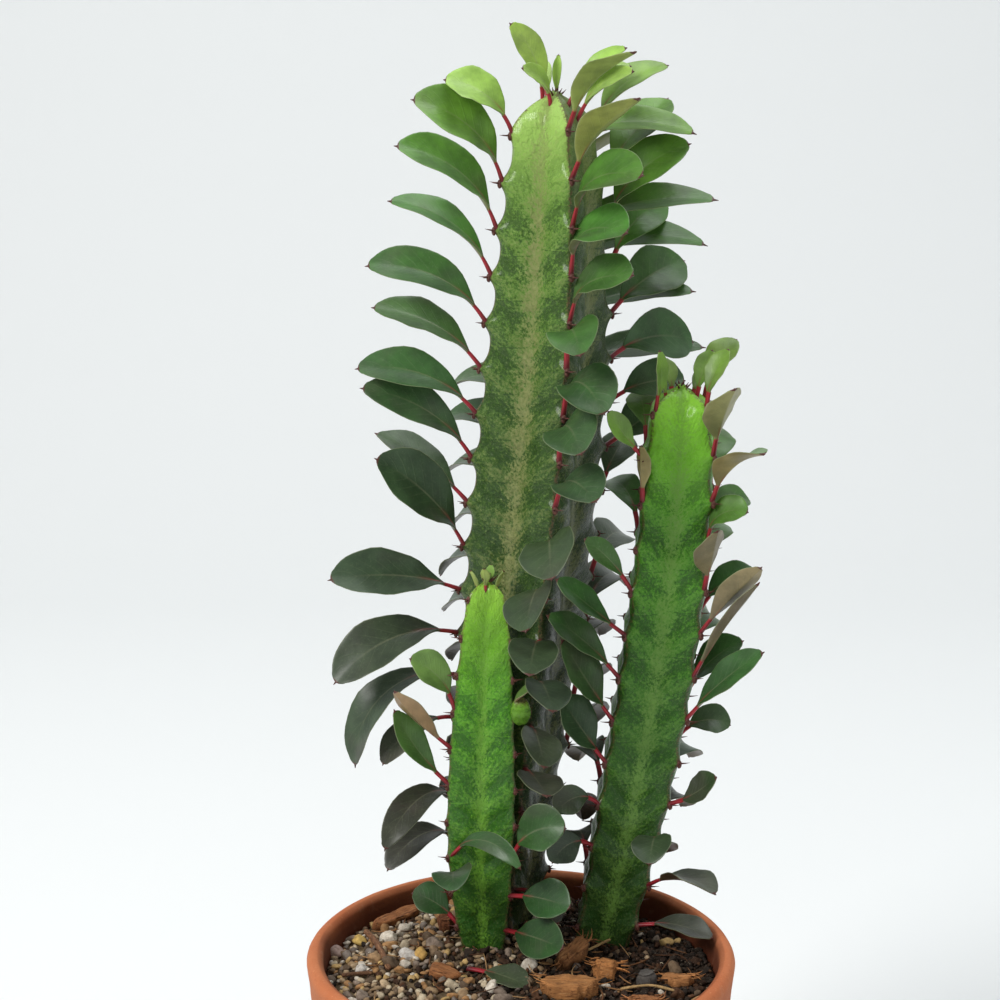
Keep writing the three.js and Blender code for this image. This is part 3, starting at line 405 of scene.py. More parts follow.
COLOURS = ("tone", "upper", "under", "wear")  # the per-point values that are colours, not vectors


class Growth:
    """Points, faces and per-point values gathered for one mesh."""

    def __init__(self):
        self.points, self.faces = [], []
        self.values = {}
        self.count = 0

    def add(self, points, faces, **values):
        """Adds a shape. A value is one row for all its points or a row for each."""
        for name, value in values.items():
            rows = np.broadcast_to(np.asarray(value, float), (len(points), np.shape(value)[-1]))
            if name in COLOURS and rows.shape[1] == 3:
                rows = np.column_stack([rows, np.ones(len(rows))])
            self.values.setdefault(name, []).append(rows)
        self.points.append(points)
        self.faces.extend([tuple(i + self.count for i in face) for face in faces])
        self.count += len(points)

    def loft(self, rings, **values):
        """Adds a closed tube through rings of points: an array of rings, points, and x, y, z."""
        self.add(rings.reshape(-1, 3), loft_faces(*rings.shape[:2]), **values)

    def piece(self, name, material, node, slot, turn_out=True):
        """The finished object in place of a node, with its normals turned out."""
        points = (np.concatenate(self.points) + POT_AXIS) * MM
        mesh = bpy.data.meshes.new(name)
        mesh.from_pydata(points.tolist(), [], self.faces)
        for attribute, parts in self.values.items():
            kind, field = ("FLOAT_COLOR", "color") if attribute in COLOURS else ("FLOAT_VECTOR", "vector")
            layer = mesh.attributes.new(attribute, kind, "POINT")
            layer.data.foreach_set(field, np.concatenate(parts).ravel())
        mesh.polygons.foreach_set("use_smooth", [True] * len(mesh.polygons))
        if turn_out:
            shape = bmesh.new()
            shape.from_mesh(mesh)
            bmesh.ops.recalc_face_normals(shape, faces=shape.faces)
            shape.to_mesh(mesh)
            shape.free()
        mesh.materials.append(material)
        piece = bpy.data.objects.new(name, mesh)
        bpy.context.scene.collection.objects.link(piece)
        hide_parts(node)


def loft_faces(rings, around, closed_ends=True):
    """Faces of a tube through that many rings of that many points each."""
    faces = []
    for i in range(rings - 1):
        for j in range(around):
            k = (j + 1) % around
            faces.append((i * around + j, i * around + k, (i + 1) * around + k, (i + 1) * around + j))
    if closed_ends:
        faces.append(tuple(range(around)))
        faces.append(tuple((rings - 1) * around + j for j in range(around)))
    return faces


def circle(r, angles, z):
    """Points at a distance from the upright axis, in the directions of some angles in radians."""
    return np.stack(np.broadcast_arrays(r * np.cos(angles), r * np.sin(angles), z), axis=-1)


def full_turn(count):
    """Evenly spaced angles all round, in radians."""
    return 2 * np.pi * np.arange(count) / count


def heading(azimuth, rise=0.0):
    """The direction at an azimuth and a rise over the level, both in degrees."""
    a, e = math.radians(azimuth), math.radians(rise)
    return np.array([math.cos(e) * math.cos(a), math.cos(e) * math.sin(a), math.sin(e)])


def noise_at(points, scale, seed=0):
    """Smooth noise from -1 to 1 at each point, with features of about that many millimetres."""
    shift = Vector((seed * 7.13, seed * 3.71, seed * 5.37))
    return np.array([noise.noise(Vector(p) / scale + shift) for p in points])


def tube(path, radii, sides=6):
    """Rings of points round a path, for Growth.loft."""
    path = np.asarray(path, float)
    tangents = np.gradient(path, axis=0)
    tangents /= np.linalg.norm(tangents, axis=1, keepdims=True)
    side = np.cross(tangents, (0.31, 0.17, 0.93))
    side /= np.linalg.norm(side, axis=1, keepdims=True)
    up = np.cross(tangents, side)
    angles = full_turn(sides)
    ring = np.cos(angles)[:, None] * side[:, None] + np.sin(angles)[:, None] * up[:, None]
    return path[:, None] + ring * np.asarray(radii, float)[:, None, None]


# ---------------------------------------------------------------- materials

# Colours on screen that the materials lay over a piece's own, from 0 to 255.
LEAF_PAINT = {
    "tint": (92, 72, 78), "speck": (132, 146, 112), "vein": (150, 165, 120), "margin": (142, 150, 112),
    "midrib": (146, 146, 116), "flush": (142, 52, 54), "stalk_foot": (92, 24, 30), "stalk": (158, 34, 46),
    "point": (82, 44, 34),
}
STEM_PAINT = {"fleck": (146, 166, 100), "margin": (112, 88, 58), "pad": (78, 42, 38)}
CLAY_PAINT = {
    "low": (170, 94, 56), "high": (182, 112, 72), "pale_grain": (200, 140, 100),
    "dark_grain": (136, 72, 42), "dust": (196, 160, 134),
}
GRIT_PAINT = (205, 185, 160)
FIBRE_PAINT = (214, 168, 116)
HORN_PAINT = (112, 74, 60)
BLOTCH = (0.6, 0.62, 0.62, 1)  # what a leaf's darker blotches leave of its colour
GRIME = (0.62, 0.58, 0.55, 1)  # what the pits of a stone leave of its colour


class Value:
    """A number, colour or vector that a shader works out."""

    def __init__(self, shader, socket):
        self.shader, self.socket = shader, socket

    def __add__(self, other):
        return self.shader.math("ADD", self, other)

    def __sub__(self, other):
        return self.shader.math("SUBTRACT", self, other)

    def __rsub__(self, other):
        return self.shader.math("SUBTRACT", other, self)

    def __mul__(self, other):
        return self.shader.math("MULTIPLY", self, other)

    def __truediv__(self, other):
        return self.shader.math("DIVIDE", self, other)

    def __abs__(self):
        return self.shader.math("ABSOLUTE", self)


class Shader:
    """A procedural material: a Principled shader and the nodes that feed it."""

    def __init__(self, name, specular=0.3, **fixed):
        self.material = bpy.data.materials.new(name)
        self.material.use_nodes = True
        self.tree = self.material.node_tree
        self.surface = next(n for n in self.tree.nodes if n.type == "BSDF_PRINCIPLED")
        self.surface.inputs["Specular IOR Level"].default_value = specular
        for socket, value in fixed.items():
            self.surface.inputs[socket.replace("_", " ").title()].default_value = value

    def feed(self, socket, value):
        if isinstance(value, Value):
            self.tree.links.new(value.socket, socket)
        else:
            socket.default_value = value

    def add(self, kind, inputs, output=0, **settings):
        """One output of a new node, with its inputs fed."""
        node = self.tree.nodes.new("ShaderNode" + kind)
        for name, value in settings.items():
            setattr(node, name, value)
        for key, value in inputs.items():
            self.feed(node.inputs[key], value)
        return Value(self, node.outputs[output])

    def math(self, operation, a, b=0.0):
        return self.add("Math", {0: a, 1: b}, operation=operation)

    def step(self, value, low, high):
        """0 at low and 1 at high, with an even slope between them."""
        ends = {"Value": value, "From Min": low, "From Max": high}
        return self.add("MapRange", ends, interpolation_type="SMOOTHSTEP")

    def mix(self, share, a, b, blend="MIX"):
        return self.add("Mix", {0: share, 6: a, 7: b}, 2, data_type="RGBA", blend_type=blend)

    def paint(self, share, base, colour):
        """base with a colour laid over it where share is 1."""
        return self.mix(share, base, (*linear(colour), 1))

    def attribute(self, name, output="Color"):
        return self.add("Attribute", {}, output, attribute_name=name)

    def split(self, name):
        """The three numbers of a vector that the mesh carries."""
        vector = self.attribute(name, "Vector")
        return [self.add("SeparateXYZ", {0: vector}, i) for i in range(3)]

    def place(self):
        return self.add("TexCoord", {}, "Object")

    def noise(self, vector, size, detail=3.0, roughness=0.55):
        """Noise from 0 to 1 with features of about that size, in the vector's units."""
        ends = {"Vector": vector, "Scale": 1 / size, "Detail": detail, "Roughness": roughness}
        return self.add("TexNoise", ends)

    def grain(self, size, detail=3.0, roughness=0.55):
        """Noise from 0 to 1 all through the piece, with features of about that many millimetres."""
        return self.noise(self.place(), size * MM, detail, roughness)

    def bump(self, height, depth, normal=None):
        """A normal from a height of 0 to 1 that stands for that many millimetres."""
        ends = {"Height": height, "Distance": depth * MM, "Strength": 1.0}
        return self.add("Bump", {**ends, "Normal": normal} if normal else ends)

    def finish(self, colour, roughness, normal=None):
        self.feed(self.surface.inputs["Base Color"], colour)
        self.feed(self.surface.inputs["Roughness"], roughness)
        if normal:
            self.feed(self.surface.inputs["Normal"], normal)
        return self.material


def leaf_material(name):
    """Waxy blades: darker blotches, a faint midrib, a thin pale margin and a crimson stalk."""
    shader = Shader(name, coat_weight=0.3, coat_roughness=0.28)
    step, paint, colours = shader.step, shader.paint, LEAF_PAINT
    u, v, side = shader.split("blade")
    edge = abs(v)
    base = shader.mix(step(side, -0.2, 0.2), shader.attribute("under"), shader.attribute("upper"))
    blotches = shader.grain(9, 5, 0.6)
    base = shader.mix(step(blotches, 0.3, 0.7), base, BLOTCH, "MULTIPLY")
    base = paint(step(shader.grain(23, 2), 0.5, 0.7) * 0.22, base, colours["tint"])
    base = paint(step(shader.grain(0.8, 3, 0.7), 0.56, 0.7) * 0.14, base, colours["speck"])
    # side veins slant forward from the midrib
    wave = abs(shader.math("SINE", (u * 9 - edge * 2.4) * math.pi))
    veins = step(wave, 0.35, 0.0) * step(edge, 0.95, 0.3)
    base = paint(veins * 0.05, base, colours["vein"])
    base = paint(step(edge, 0.955, 0.992) * 0.5, base, colours["margin"])
    base = paint(step(edge, 0.06, 0.015) * step(u, 0.95, 0.3) * 0.26, base, colours["midrib"])
    base = paint(step(u, 0.3, 0.0) * step(edge, 0.22, 0.04) * 0.8, base, colours["flush"])
    stalk = paint(step(u, -1.0, -0.25), (*linear(colours["stalk_foot"]), 1), colours["stalk"])
    base = shader.mix(step(u, 0.03, -0.03), base, stalk)
    base = paint(step(u, 0.982, 0.992), base, colours["point"])
    waves = shader.bump(shader.grain(6, 2), 0.35, shader.bump(shader.grain(0.6), 0.03))
    return shader.finish(base, blotches * 0.25 + 0.36, shader.bump(veins, 0.05, waves))


def stem_material(name, stripe, mottle, tip):
    """Flesh mottled all over, paler down each face and along the bands that rise to the teeth.

    tip is the height of the stem in centimetres: the flesh just under it is young and plain.
    """
    shader = Shader(name, coat_weight=0.22, coat_roughness=0.12)
    step, paint = shader.step, shader.paint
    across, height, sector = shader.split("skin")
    tooth_rise, crest, pitch = shader.split("tooth")
    edge = abs(across)
    # the tone is the flesh's colour with the painted shade of its face in it
    base = shader.attribute("tone")
    # streaks run from the middle of a face up to its teeth
    flow = shader.add("CombineXYZ", {0: across * 2.0, 1: (height - edge * 1.3) * 1.7, 2: sector})
    streaks = step(shader.noise(flow, 0.36, 6, 0.7), 0.34, 0.66)
    clouds = step(shader.grain(6, 3, 0.6), 0.36, 0.64)
    speckle = step(shader.grain(1.0, 4, 0.75), 0.36, 0.64)
    grain = streaks * 0.45 + speckle * 0.52 + clouds * 0.16 - 0.56
    # bands: the crest of one meets each tooth, and it sinks towards the middle of the face
    sunk = (1 - edge) * BAND_DROP + tooth_rise
    band = shader.math("COSINE", sunk / pitch * (2 * math.pi)) * 0.5 + 0.5
    middle = step(edge, 0.62, 0.0)
    share = band * 0.42 + middle * 0.5 + grain
    grown = step(height, tip - 0.5, tip - 5.5)
    base = paint(step(share, 0.5, -0.05) * grown * 0.78, base, mottle)
    base = paint(step(share, 0.3, 0.7) * 0.34, base, stripe)
    # the tone's alpha, the painted face shade, also dims the pale stripe on shaded faces
    pale = step(middle * 0.75 + grain - 0.12, 0.15, 0.85) * shader.attribute("tone", "Alpha")
    base = paint(pale * (grown * 0.7 + 0.3) * 0.82, base, stripe)
    base = paint(step(shader.grain(0.6, 3, 0.7), 0.55, 0.68) * 0.3, base, STEM_PAINT["fleck"])
    base = paint(step(crest, 1.3, 0.3) * step(speckle, 0.25, 0.8) * 0.8, base, STEM_PAINT["margin"])
    base = paint(step(abs(tooth_rise), 2.2, 1.0) * step(crest, 1.6, 0.6) * 0.7, base, STEM_PAINT["pad"])
    lumps = shader.bump(streaks, 0.3, shader.bump(clouds, 0.5))
    return shader.finish(base, clouds * 0.16 + 0.36, shader.bump(shader.grain(0.6, 2), 0.05, lumps))


def clay_material():
    """Fired clay: cloudy, grainy and dusty, with the stains, painted shade and painted highlight that the
    mesh carries.
    """
    shader = Shader("terracotta_clay")
    step, paint, colours = shader.step, shader.paint, CLAY_PAINT
    base = paint(step(shader.grain(38), 0.3, 0.7), (*linear(colours["low"]), 1), colours["high"])
    grains = shader.grain(1.1, 3, 0.7)
    base = paint(step(grains, 0.58, 0.72) * 0.45, base, colours["pale_grain"])
    base = paint(step(grains, 0.42, 0.3) * 0.4, base, colours["dark_grain"])
    # the mesh's stains, the painted shade inside the wall and the painted highlight on the lip
    base = shader.mix(1.0, base, shader.attribute("wear"), "MULTIPLY")
    base = paint(step(shader.grain(9, 5, 0.65), 0.55, 0.8) * 0.22, base, colours["dust"])
    normal = shader.bump(shader.grain(5, 4), 0.25, shader.bump(grains, 0.12))
    return shader.finish(base, grains * 0.2 + 0.68, normal)


def ground_material(name, size, depth, roughness=0.85):
    """Colour from the mesh, broken up by grains of a size in millimetres: for soil and stones."""
    shader = Shader(name)
    coarse = shader.grain(size, 5, 0.65)
    base = shader.mix(shader.step(coarse, 0.35, 0.7), shader.attribute("tone"), GRIME, "MULTIPLY")
    base = shader.paint(shader.step(shader.grain(0.5 * size, 2), 0.6, 0.75) * 0.25, base, GRIT_PAINT)
    return shader.finish(base, roughness, shader.bump(coarse, depth))


def fibre_material(name, dark):
    """Bark or husk: colour from the mesh, with fibres along the piece's own length."""
    shader = Shader(name)
    strands = shader.noise(shader.attribute("fibre", "Vector"), 0.5, 4, 0.65)
    base = shader.paint(shader.step(strands, 0.5, 0.66) * 0.75, shader.attribute("tone"), dark)
    base = shader.paint(shader.step(strands, 0.42, 0.3) * 0.45, base, FIBRE_PAINT)
    return shader.finish(base, 0.82, shader.bump(shader.grain(0.8), 0.15, shader.bump(strands, 0.5)))


def spine_material():
    shader = Shader("spine_horn")
    base = shader.paint(shader.step(shader.grain(0.8, 2), 0.45, 0.7), shader.attribute("tone"), HORN_PAINT)
    return shader.finish(base, 0.5)


# ---------------------------------------------------------------- pot

def pot_radius(z):
    f = z / POT["height"]
    return POT["foot"] + (POT["rim"] - POT["foot"]) * f + POT["belly"] * np.sin(np.pi * f)


def arc_points(middle, radius, first, last, count):
    """Points of an arc in a section, from a first to a last angle in degrees."""
    angles = np.radians(np.linspace(first, last, count))
    return np.column_stack([middle[0] + radius * np.cos(angles), middle[1] + radius * np.sin(angles)])


def pot_profile():
    """The pot's section from the drain hole's lower edge round the outside and back in."""
    lip = POT["wall"] / 2
    lip_z = POT["height"] - lip
    round_foot = POT["foot_round"]
    sides = np.linspace(2 * round_foot, lip_z, 60)
    inside = np.linspace(lip_z, POT["floor"] + 4, 50)
    wall = POT["wall"]
    foot = (pot_radius(0) - round_foot + 0.3, round_foot)
    corner = (pot_radius(POT["floor"]) - wall - 4, POT["floor"] + 4)
    return np.concatenate([
        [(POT["drain"] + 0.8, 0), (30, 0.25)],
        arc_points(foot, round_foot, -90, -15, 7),
        np.column_stack([pot_radius(sides), sides]),
        arc_points((pot_radius(lip_z) - lip, lip_z), lip, 15, 165, 13),
        np.column_stack([pot_radius(inside) - wall, inside]),
        arc_points(corner, 4, -15, -90, 6),
        [(30, POT["floor"]), (POT["drain"] + 0.8, POT["floor"]), (POT["drain"], POT["floor"] - 0.8)],
        [(POT["drain"], 0.8)],
    ])


CLAY_RELIEF = {"swell": 0.22, "dents": 0.1, "throwing": 0.07}  # mm
INNER_WALL_DARKENING = np.array([0.3, 0.24, 0.22])  # what the inner wall keeps of the clay's colour just over the mix: a damp stain deepened by painted shade
INNER_WALL_DARKENING_REACH = (14, 6)  # how far over the mix this darkening ends and is full, mm
# a painted highlight: the outside of the lip is made lighter, as though lit from above
PAINTED_LIP_HIGHLIGHT = 0.16
FOOT_STAIN = {"share": 0.25, "height": 16}


def build_pot():
    """The section turned round, with the clay's slight unevenness, its stains, painted shade on the inner
    wall and a painted highlight on the lip.
    """
    profile = pot_profile()
    n = POT["facets"]
    flat = circle(profile[:, :1], full_turn(n), profile[:, 1:]).reshape(-1, 3)
    throwing_lines = CLAY_RELIEF["throwing"] * np.sin(flat[:, 2] * 2.3 + 0.6 * np.sin(flat[:, 2] * 0.37))
    swell = CLAY_RELIEF["swell"] * noise_at(flat, 24, 3) + CLAY_RELIEF["dents"] * noise_at(flat, 6, 4)
    swell = swell + throwing_lines
    radial = np.hypot(flat[:, 0], flat[:, 1])
    on_wall = (flat[:, 2] > 3)[:, None]
    outward = np.column_stack([flat[:, 0], flat[:, 1], 0 * radial]) / radial[:, None]
    flat = flat + outward * swell[:, None] * on_wall
    count = len(profile)
    faces = loft_faces(count, n, closed_ends=False)
    faces += [((count - 1) * n + j, (count - 1) * n + (j + 1) % n, (j + 1) % n, j) for j in range(n)]
    inner = (radial < pot_radius(flat[:, 2]) - 0.7 * POT["wall"]) & (flat[:, 2] > 2)
    streaks = 0.5 + 0.5 * noise_at(flat * [1, 1, 0.25], 11, 9)
    over_mix = flat[:, 2] - MIX["edge"]
    # the inner wall darkens towards the mix: a damp stain with painted shade under the rim
    inner_wall_dark = inner * smooth(*INNER_WALL_DARKENING_REACH, over_mix + 5 * streaks - 1)
    # where the painted highlight lies: the outside of the lip
    lip = smooth(POT["height"] - 6, POT["height"] - 1, flat[:, 2]) * (1 - inner)
    foot_stain = smooth(FOOT_STAIN["height"], 0, flat[:, 2]) * streaks
    wear = 1 - inner_wall_dark[:, None] * (1 - INNER_WALL_DARKENING)
    wear = wear * (1 + PAINTED_LIP_HIGHLIGHT * lip[:, None])
    wear = wear * (1 - FOOT_STAIN["share"] * foot_stain[:, None])
    growth = Growth()
    growth.add(flat, faces, wear=wear)
    growth.piece("clay_pot", clay_material(), "pot", "terracotta")


# ---------------------------------------------------------------- stems

# Samples of a face from one rib's crest to the next, closer together at the crests.
HALF_FACE = np.array([0.08, 0.22, 0.36, 0.5, 0.63, 0.74, 0.83, 0.9, 0.95, 0.98])
FACE = np.concatenate([[-1], -HALF_FACE[::-1], HALF_FACE])
STEM_STEP = 0.9
CAP = ((0.85, 0.7), (0.6, 1.3), (0.3, 1.6), (0.06, 1.7))  # rings that close the apex: size and rise
SECTOR_STEP = 7.0  # keeps the mottling of one face apart from the next
STEM_LUMPS = 0.4  # mm
FOOT_SWELL = 20  # height over the mix at which the bands swell in full, mm


def stem_top(stem):
    return stem["axis"][3][2]


def stem_foot(stem):
    return stem["axis"][0][2]


def share_of(stem, z):
    """Share of the way from the mix to the apex; below the mix it is negative."""
    return (z - stem_foot(stem)) / (stem_top(stem) - stem_foot(stem))


def axis_at(stem, z):
    t = np.maximum(share_of(stem, z), 0)
    return [bezier([p[i] for p in stem["axis"]], t) for i in (0, 1)]


def girth_at(stem, z):
    """How far the ribs stand out from the axis: rounded off at the apex, narrower in the mix."""
    t = np.maximum(share_of(stem, z), 0)
    below = stem_top(stem) - z
    dome = 1 - np.exp(-(below + 0.18 * stem["crown"]) / stem["crown"])
    buried = np.maximum(stem_foot(stem) - z, 0) / stem["root_length"]
    return bezier(stem["girth"], t) * dome * (1 - 0.45 * buried)


def rib_azimuth(stem, rib, z):
    return stem["ribs"][rib] + stem["twist"] * (1 - np.maximum(share_of(stem, z), 0))


def tooth_height(stem, rib, k):
    return stem_top(stem) - stem["top_tooth"] - (k + stem["phase"][rib]) * stem["pitch"]


def tooth_count(stem):
    return int((stem_top(stem) - stem["top_tooth"] - stem_foot(stem) - 4) / stem["pitch"]) + 1


def tooth_turns(stem, rib, z):
    """How many teeth of a rib lie between a height and the apex, with the share of the next."""
    return (stem_top(stem) - stem["top_tooth"] - z) / stem["pitch"] - stem["phase"][rib]


def dip(stem, rib, z):
    """How far a rib's margin dips at a height: 0 at a tooth, 1 midway between two."""
    turns = tooth_turns(stem, rib, z)
    s = np.abs(np.sin(np.pi * turns))
    return np.where(turns < 0, 0, 1 - (1 - s) ** TOOTH_SHARPNESS)


def stem_skin(stem):
    """Points of a stem's surface, ring by ring, and what its material needs to know of each."""
    top, foot = stem_top(stem), stem_foot(stem)
    count = len(stem["ribs"])
    z = np.arange(foot - stem["root_length"], top + 0.01, STEM_STEP)
    z[-1] = top
    columns, skin, tooth = [], [], []
    for rib in range(count):
        after = (rib + 1) % count
        start = rib_azimuth(stem, rib, z)
        span = (rib_azimuth(stem, after, z) - start + 720) % 360
        for across in FACE:
            nearest = rib if across < 0 else after
            girth = girth_at(stem, z)
            edge = 1 - (math.hypot(1 - abs(across), 0.02) - 0.02)
            notch = np.where(z > foot, stem["notch"] * dip(stem, nearest, z), stem["notch"])
            valley = stem["valley"] * girth
            r = valley + (girth - valley) * edge**1.9 - np.minimum(notch, 0.3 * girth) * edge**5
            turns = tooth_turns(stem, nearest, z)
            rise = -(turns - np.round(turns)) * stem["pitch"]
            sunk = rise + BAND_DROP * (1 - abs(across))
            swell = np.abs(np.cos(np.pi * sunk / stem["pitch"])) ** 0.8 - 0.6
            r = r + BAND_SWELL * swell * math.sin(math.pi * abs(across)) * smooth(foot, foot + FOOT_SWELL, z)
            angle = np.radians(start + span * (across + 1) / 2)
            x, y = axis_at(stem, z)
            columns.append(np.column_stack([x + r * np.cos(angle), y + r * np.sin(angle), z]))
            height = (z - foot) / 10
            skin.append(np.column_stack([0 * z + across, height, 0 * z + rib * SECTOR_STEP]))
            from_crest = (1 - abs(across)) * np.radians(span / 2) * girth
            tooth.append(np.column_stack([rise, from_crest, 0 * z + stem["pitch"]]))
    return [np.stack(part, axis=1) for part in (columns, skin, tooth)]


def cap_rings(rings):
    """The stem's rings with a low rounded cap closing the apex."""
    points, skin, tooth = rings
    last = points[-1]
    middle = last.mean(axis=0)
    for shrink, rise in CAP:
        ring = middle + (last - middle) * shrink + np.array([0, 0, rise])
        points = np.concatenate([points, ring[None]])
        skin = np.concatenate([skin, skin[-1:]])
        tooth = np.concatenate([tooth, tooth[-1:]])
    return points, skin, tooth


# Colours of each stem and its leaves from the mix to the apex, and the painted shade of each face: the share
# of its colour that it keeps.
STEM_LOOKS = {
    "stem_tall": {
        "slot": "stem_green", "stripe": (142, 146, 90), "mottle": (34, 62, 16),
        # faces: painted shade of each face; the face after rib 1 is darkest, deep in the shade between ribs
        "faces": (1, 0.35, 0.7, 0.9),
        "tones": [
            (0.0, (36, 52, 18)), (0.08, (44, 68, 22)), (0.4, (58, 90, 28)), (0.7, (74, 112, 34)),
            (0.88, (106, 150, 54)), (0.96, (164, 206, 96)), (1.0, (184, 224, 116)),
        ],
        "upper": [
            (0.0, (62, 56, 50)), (0.2, (64, 70, 56)), (0.45, (62, 82, 52)), (0.65, (62, 98, 48)),
            (0.85, (76, 128, 42)), (0.965, (112, 160, 56)), (1.0, (160, 198, 84)),
        ],
        "under": [
            (0.0, (54, 42, 34)), (0.3, (66, 60, 44)), (0.6, (96, 90, 58)), (0.85, (134, 134, 78)),
            (1.0, (156, 168, 88)),
        ],
    },
    "stem_right": {
        "slot": "stem_bright_green", "stripe": (112, 156, 66), "mottle": (32, 76, 14),
        # faces: painted shade of each face, as a share of its colour
        "faces": (1, 0.8, 0.9, 0.9),
        "tones": [
            (0.0, (38, 66, 16)), (0.2, (54, 96, 24)), (0.5, (66, 126, 26)), (0.8, (84, 154, 28)),
            (0.93, (132, 206, 46)), (1.0, (154, 220, 66)),
        ],
        "upper": [
            (0.0, (60, 62, 50)), (0.3, (58, 80, 48)), (0.55, (60, 102, 44)), (0.8, (82, 128, 48)),
            (1.0, (132, 168, 68)),
        ],
        "under": [
            (0.0, (84, 62, 50)), (0.4, (118, 102, 72)), (0.75, (148, 132, 90)), (1.0, (164, 162, 98)),
        ],
    },
    "stem_short": {
        "slot": "stem_young_green", "stripe": (122, 178, 58), "mottle": (42, 96, 20),
        # faces: painted shade of each face, as a share of its colour
        "faces": (1, 1, 0.8),
        "tones": [
            (0.0, (36, 76, 14)), (0.3, (66, 122, 26)), (0.7, (88, 162, 28)), (0.9, (124, 186, 40)),
            (1.0, (154, 208, 68)),
        ],
        "upper": [
            (0.0, (48, 80, 40)), (0.4, (58, 104, 42)), (0.7, (112, 144, 72)), (1.0, (132, 164, 68)),
        ],
        "under": [
            (0.0, (94, 80, 54)), (0.5, (138, 118, 84)), (0.7, (166, 136, 104)), (1.0, (150, 166, 84)),
        ],
    },
}


def grow_shoot(growth, stem, shoot, look):
    """A young side shoot: an oval bud seated on a rib's margin, furrowed like the stem."""
    ball, faces = icosphere(4)
    point, _ = tooth_point(stem, shoot["rib"], shoot["tooth"], -shoot["out"])
    around = np.arctan2(ball[:, 1], ball[:, 0])
    furrow = 1 - 0.2 * np.abs(np.sin(1.5 * around + 0.6)) ** 0.7 * (1 - np.abs(ball[:, 2]) ** 3)
    furrow = furrow + 0.06 * noise_at(ball, 0.35, 12)
    size = np.array([shoot["width"], shoot["width"], shoot["height"]]) / 2
    count = len(ball)
    withered = smooth(0.45, 0.8, ball[:, 2] + 0.3 * noise_at(ball, 0.3, 13))[:, None]
    green = np.outer(0.62 + 0.16 * ball[:, 2], linear(look["tones"][-2][1]))
    tone = green * (1 - withered) + linear(SHOOT_TIP) * withered
    skin = np.column_stack([0.45 + 0 * around, ball[:, 2], np.full(count, 40.0)])
    tooth = np.column_stack([np.full(count, 6.0), np.full(count, 6.0), np.full(count, stem["pitch"])])
    shape = ball * furrow[:, None] * size
    # the tone's alpha is the painted face shade that the skin reads: half on the shoot
    tone = np.column_stack([tone, np.full(count, 0.5)])
    growth.add(shape + point, faces, tone=tone, skin=skin, tooth=tooth)


def build_stem_body(name, stem, look):
    points, skin, tooth = cap_rings(stem_skin(stem))
    shape = points.shape
    flat = points.reshape(-1, 3)
    x, y = axis_at(stem, np.minimum(flat[:, 2], stem_top(stem)))
    outward = np.column_stack([flat[:, 0] - x, flat[:, 1] - y, 0 * x])
    outward /= np.maximum(np.linalg.norm(outward, axis=1, keepdims=True), 1e-6)
    face = 1 - np.abs(skin.reshape(-1, 3)[:, :1]) ** 6
    lumps = STEM_LUMPS * noise_at(flat * [1, 1, 0.8], 8, stem["number"])[:, None]
    flat = flat + outward * lumps * face
    f = share_of(stem, flat[:, 2])
    patch = 1 + 0.16 * noise_at(flat, 26, 5)[:, None]
    sector = np.rint(skin.reshape(-1, 3)[:, 2] / SECTOR_STEP).astype(int)
    # painted shade: each face's colour is darkened by its share in the look's faces, and the share rides in
    # the tone's alpha
    painted_face_shade = np.array(look["faces"])[sector]
    tones = blend_colours(look["tones"], f) * patch * painted_face_shade[:, None]
    growth = Growth()
    growth.loft(
        flat.reshape(shape), tone=np.column_stack([tones, painted_face_shade]),
        skin=skin.reshape(-1, 3), tooth=tooth.reshape(-1, 3),
    )
    for shoot in stem.get("shoots", ()):
        grow_shoot(growth, stem, shoot, look)
    tip = (stem_top(stem) - stem_foot(stem)) / 10
    skin_look = stem_material(name + "_skin", look["stripe"], look["mottle"], tip)
    growth.piece(name + "_flesh", skin_look, name, look["slot"])


# ---------------------------------------------------------------- leaves

# Samples across a blade from the margin to the midrib, round the upper side and back below.
HALF_BLADE = np.array([1, 0.985, 0.94, 0.85, 0.7, 0.5, 0.3, 0.14, 0.06])
UPPER_SIDE = np.concatenate([HALF_BLADE, [0], -HALF_BLADE[::-1]])
BLADE_RING = np.concatenate([UPPER_SIDE, UPPER_SIDE[-2:0:-1]])
BLADE_SIDE = np.concatenate([[0], np.ones(len(UPPER_SIDE) - 2), [0], -np.ones(len(UPPER_SIDE) - 2)])
STALK_STEPS = np.linspace(-1, 0, 8)[:-1]
BLADE_STEPS = np.array([
    0, 0.02, 0.045, 0.08, 0.12, 0.17, 0.23, 0.3, 0.38, 0.46, 0.54, 0.62, 0.7, 0.77, 0.83, 0.88, 0.92,
    0.95, 0.972, 0.986, 0.995, 1.0,
])


def tooth_point(stem, rib, k, depth):
    """The point that deep under a tooth's tip, and the azimuth that the tooth faces."""
    z = tooth_height(stem, rib, k)
    x, y = axis_at(stem, z)
    azimuth = rib_azimuth(stem, rib, z)
    return np.array([x, y, z]) + (girth_at(stem, z) - depth) * heading(azimuth), azimuth


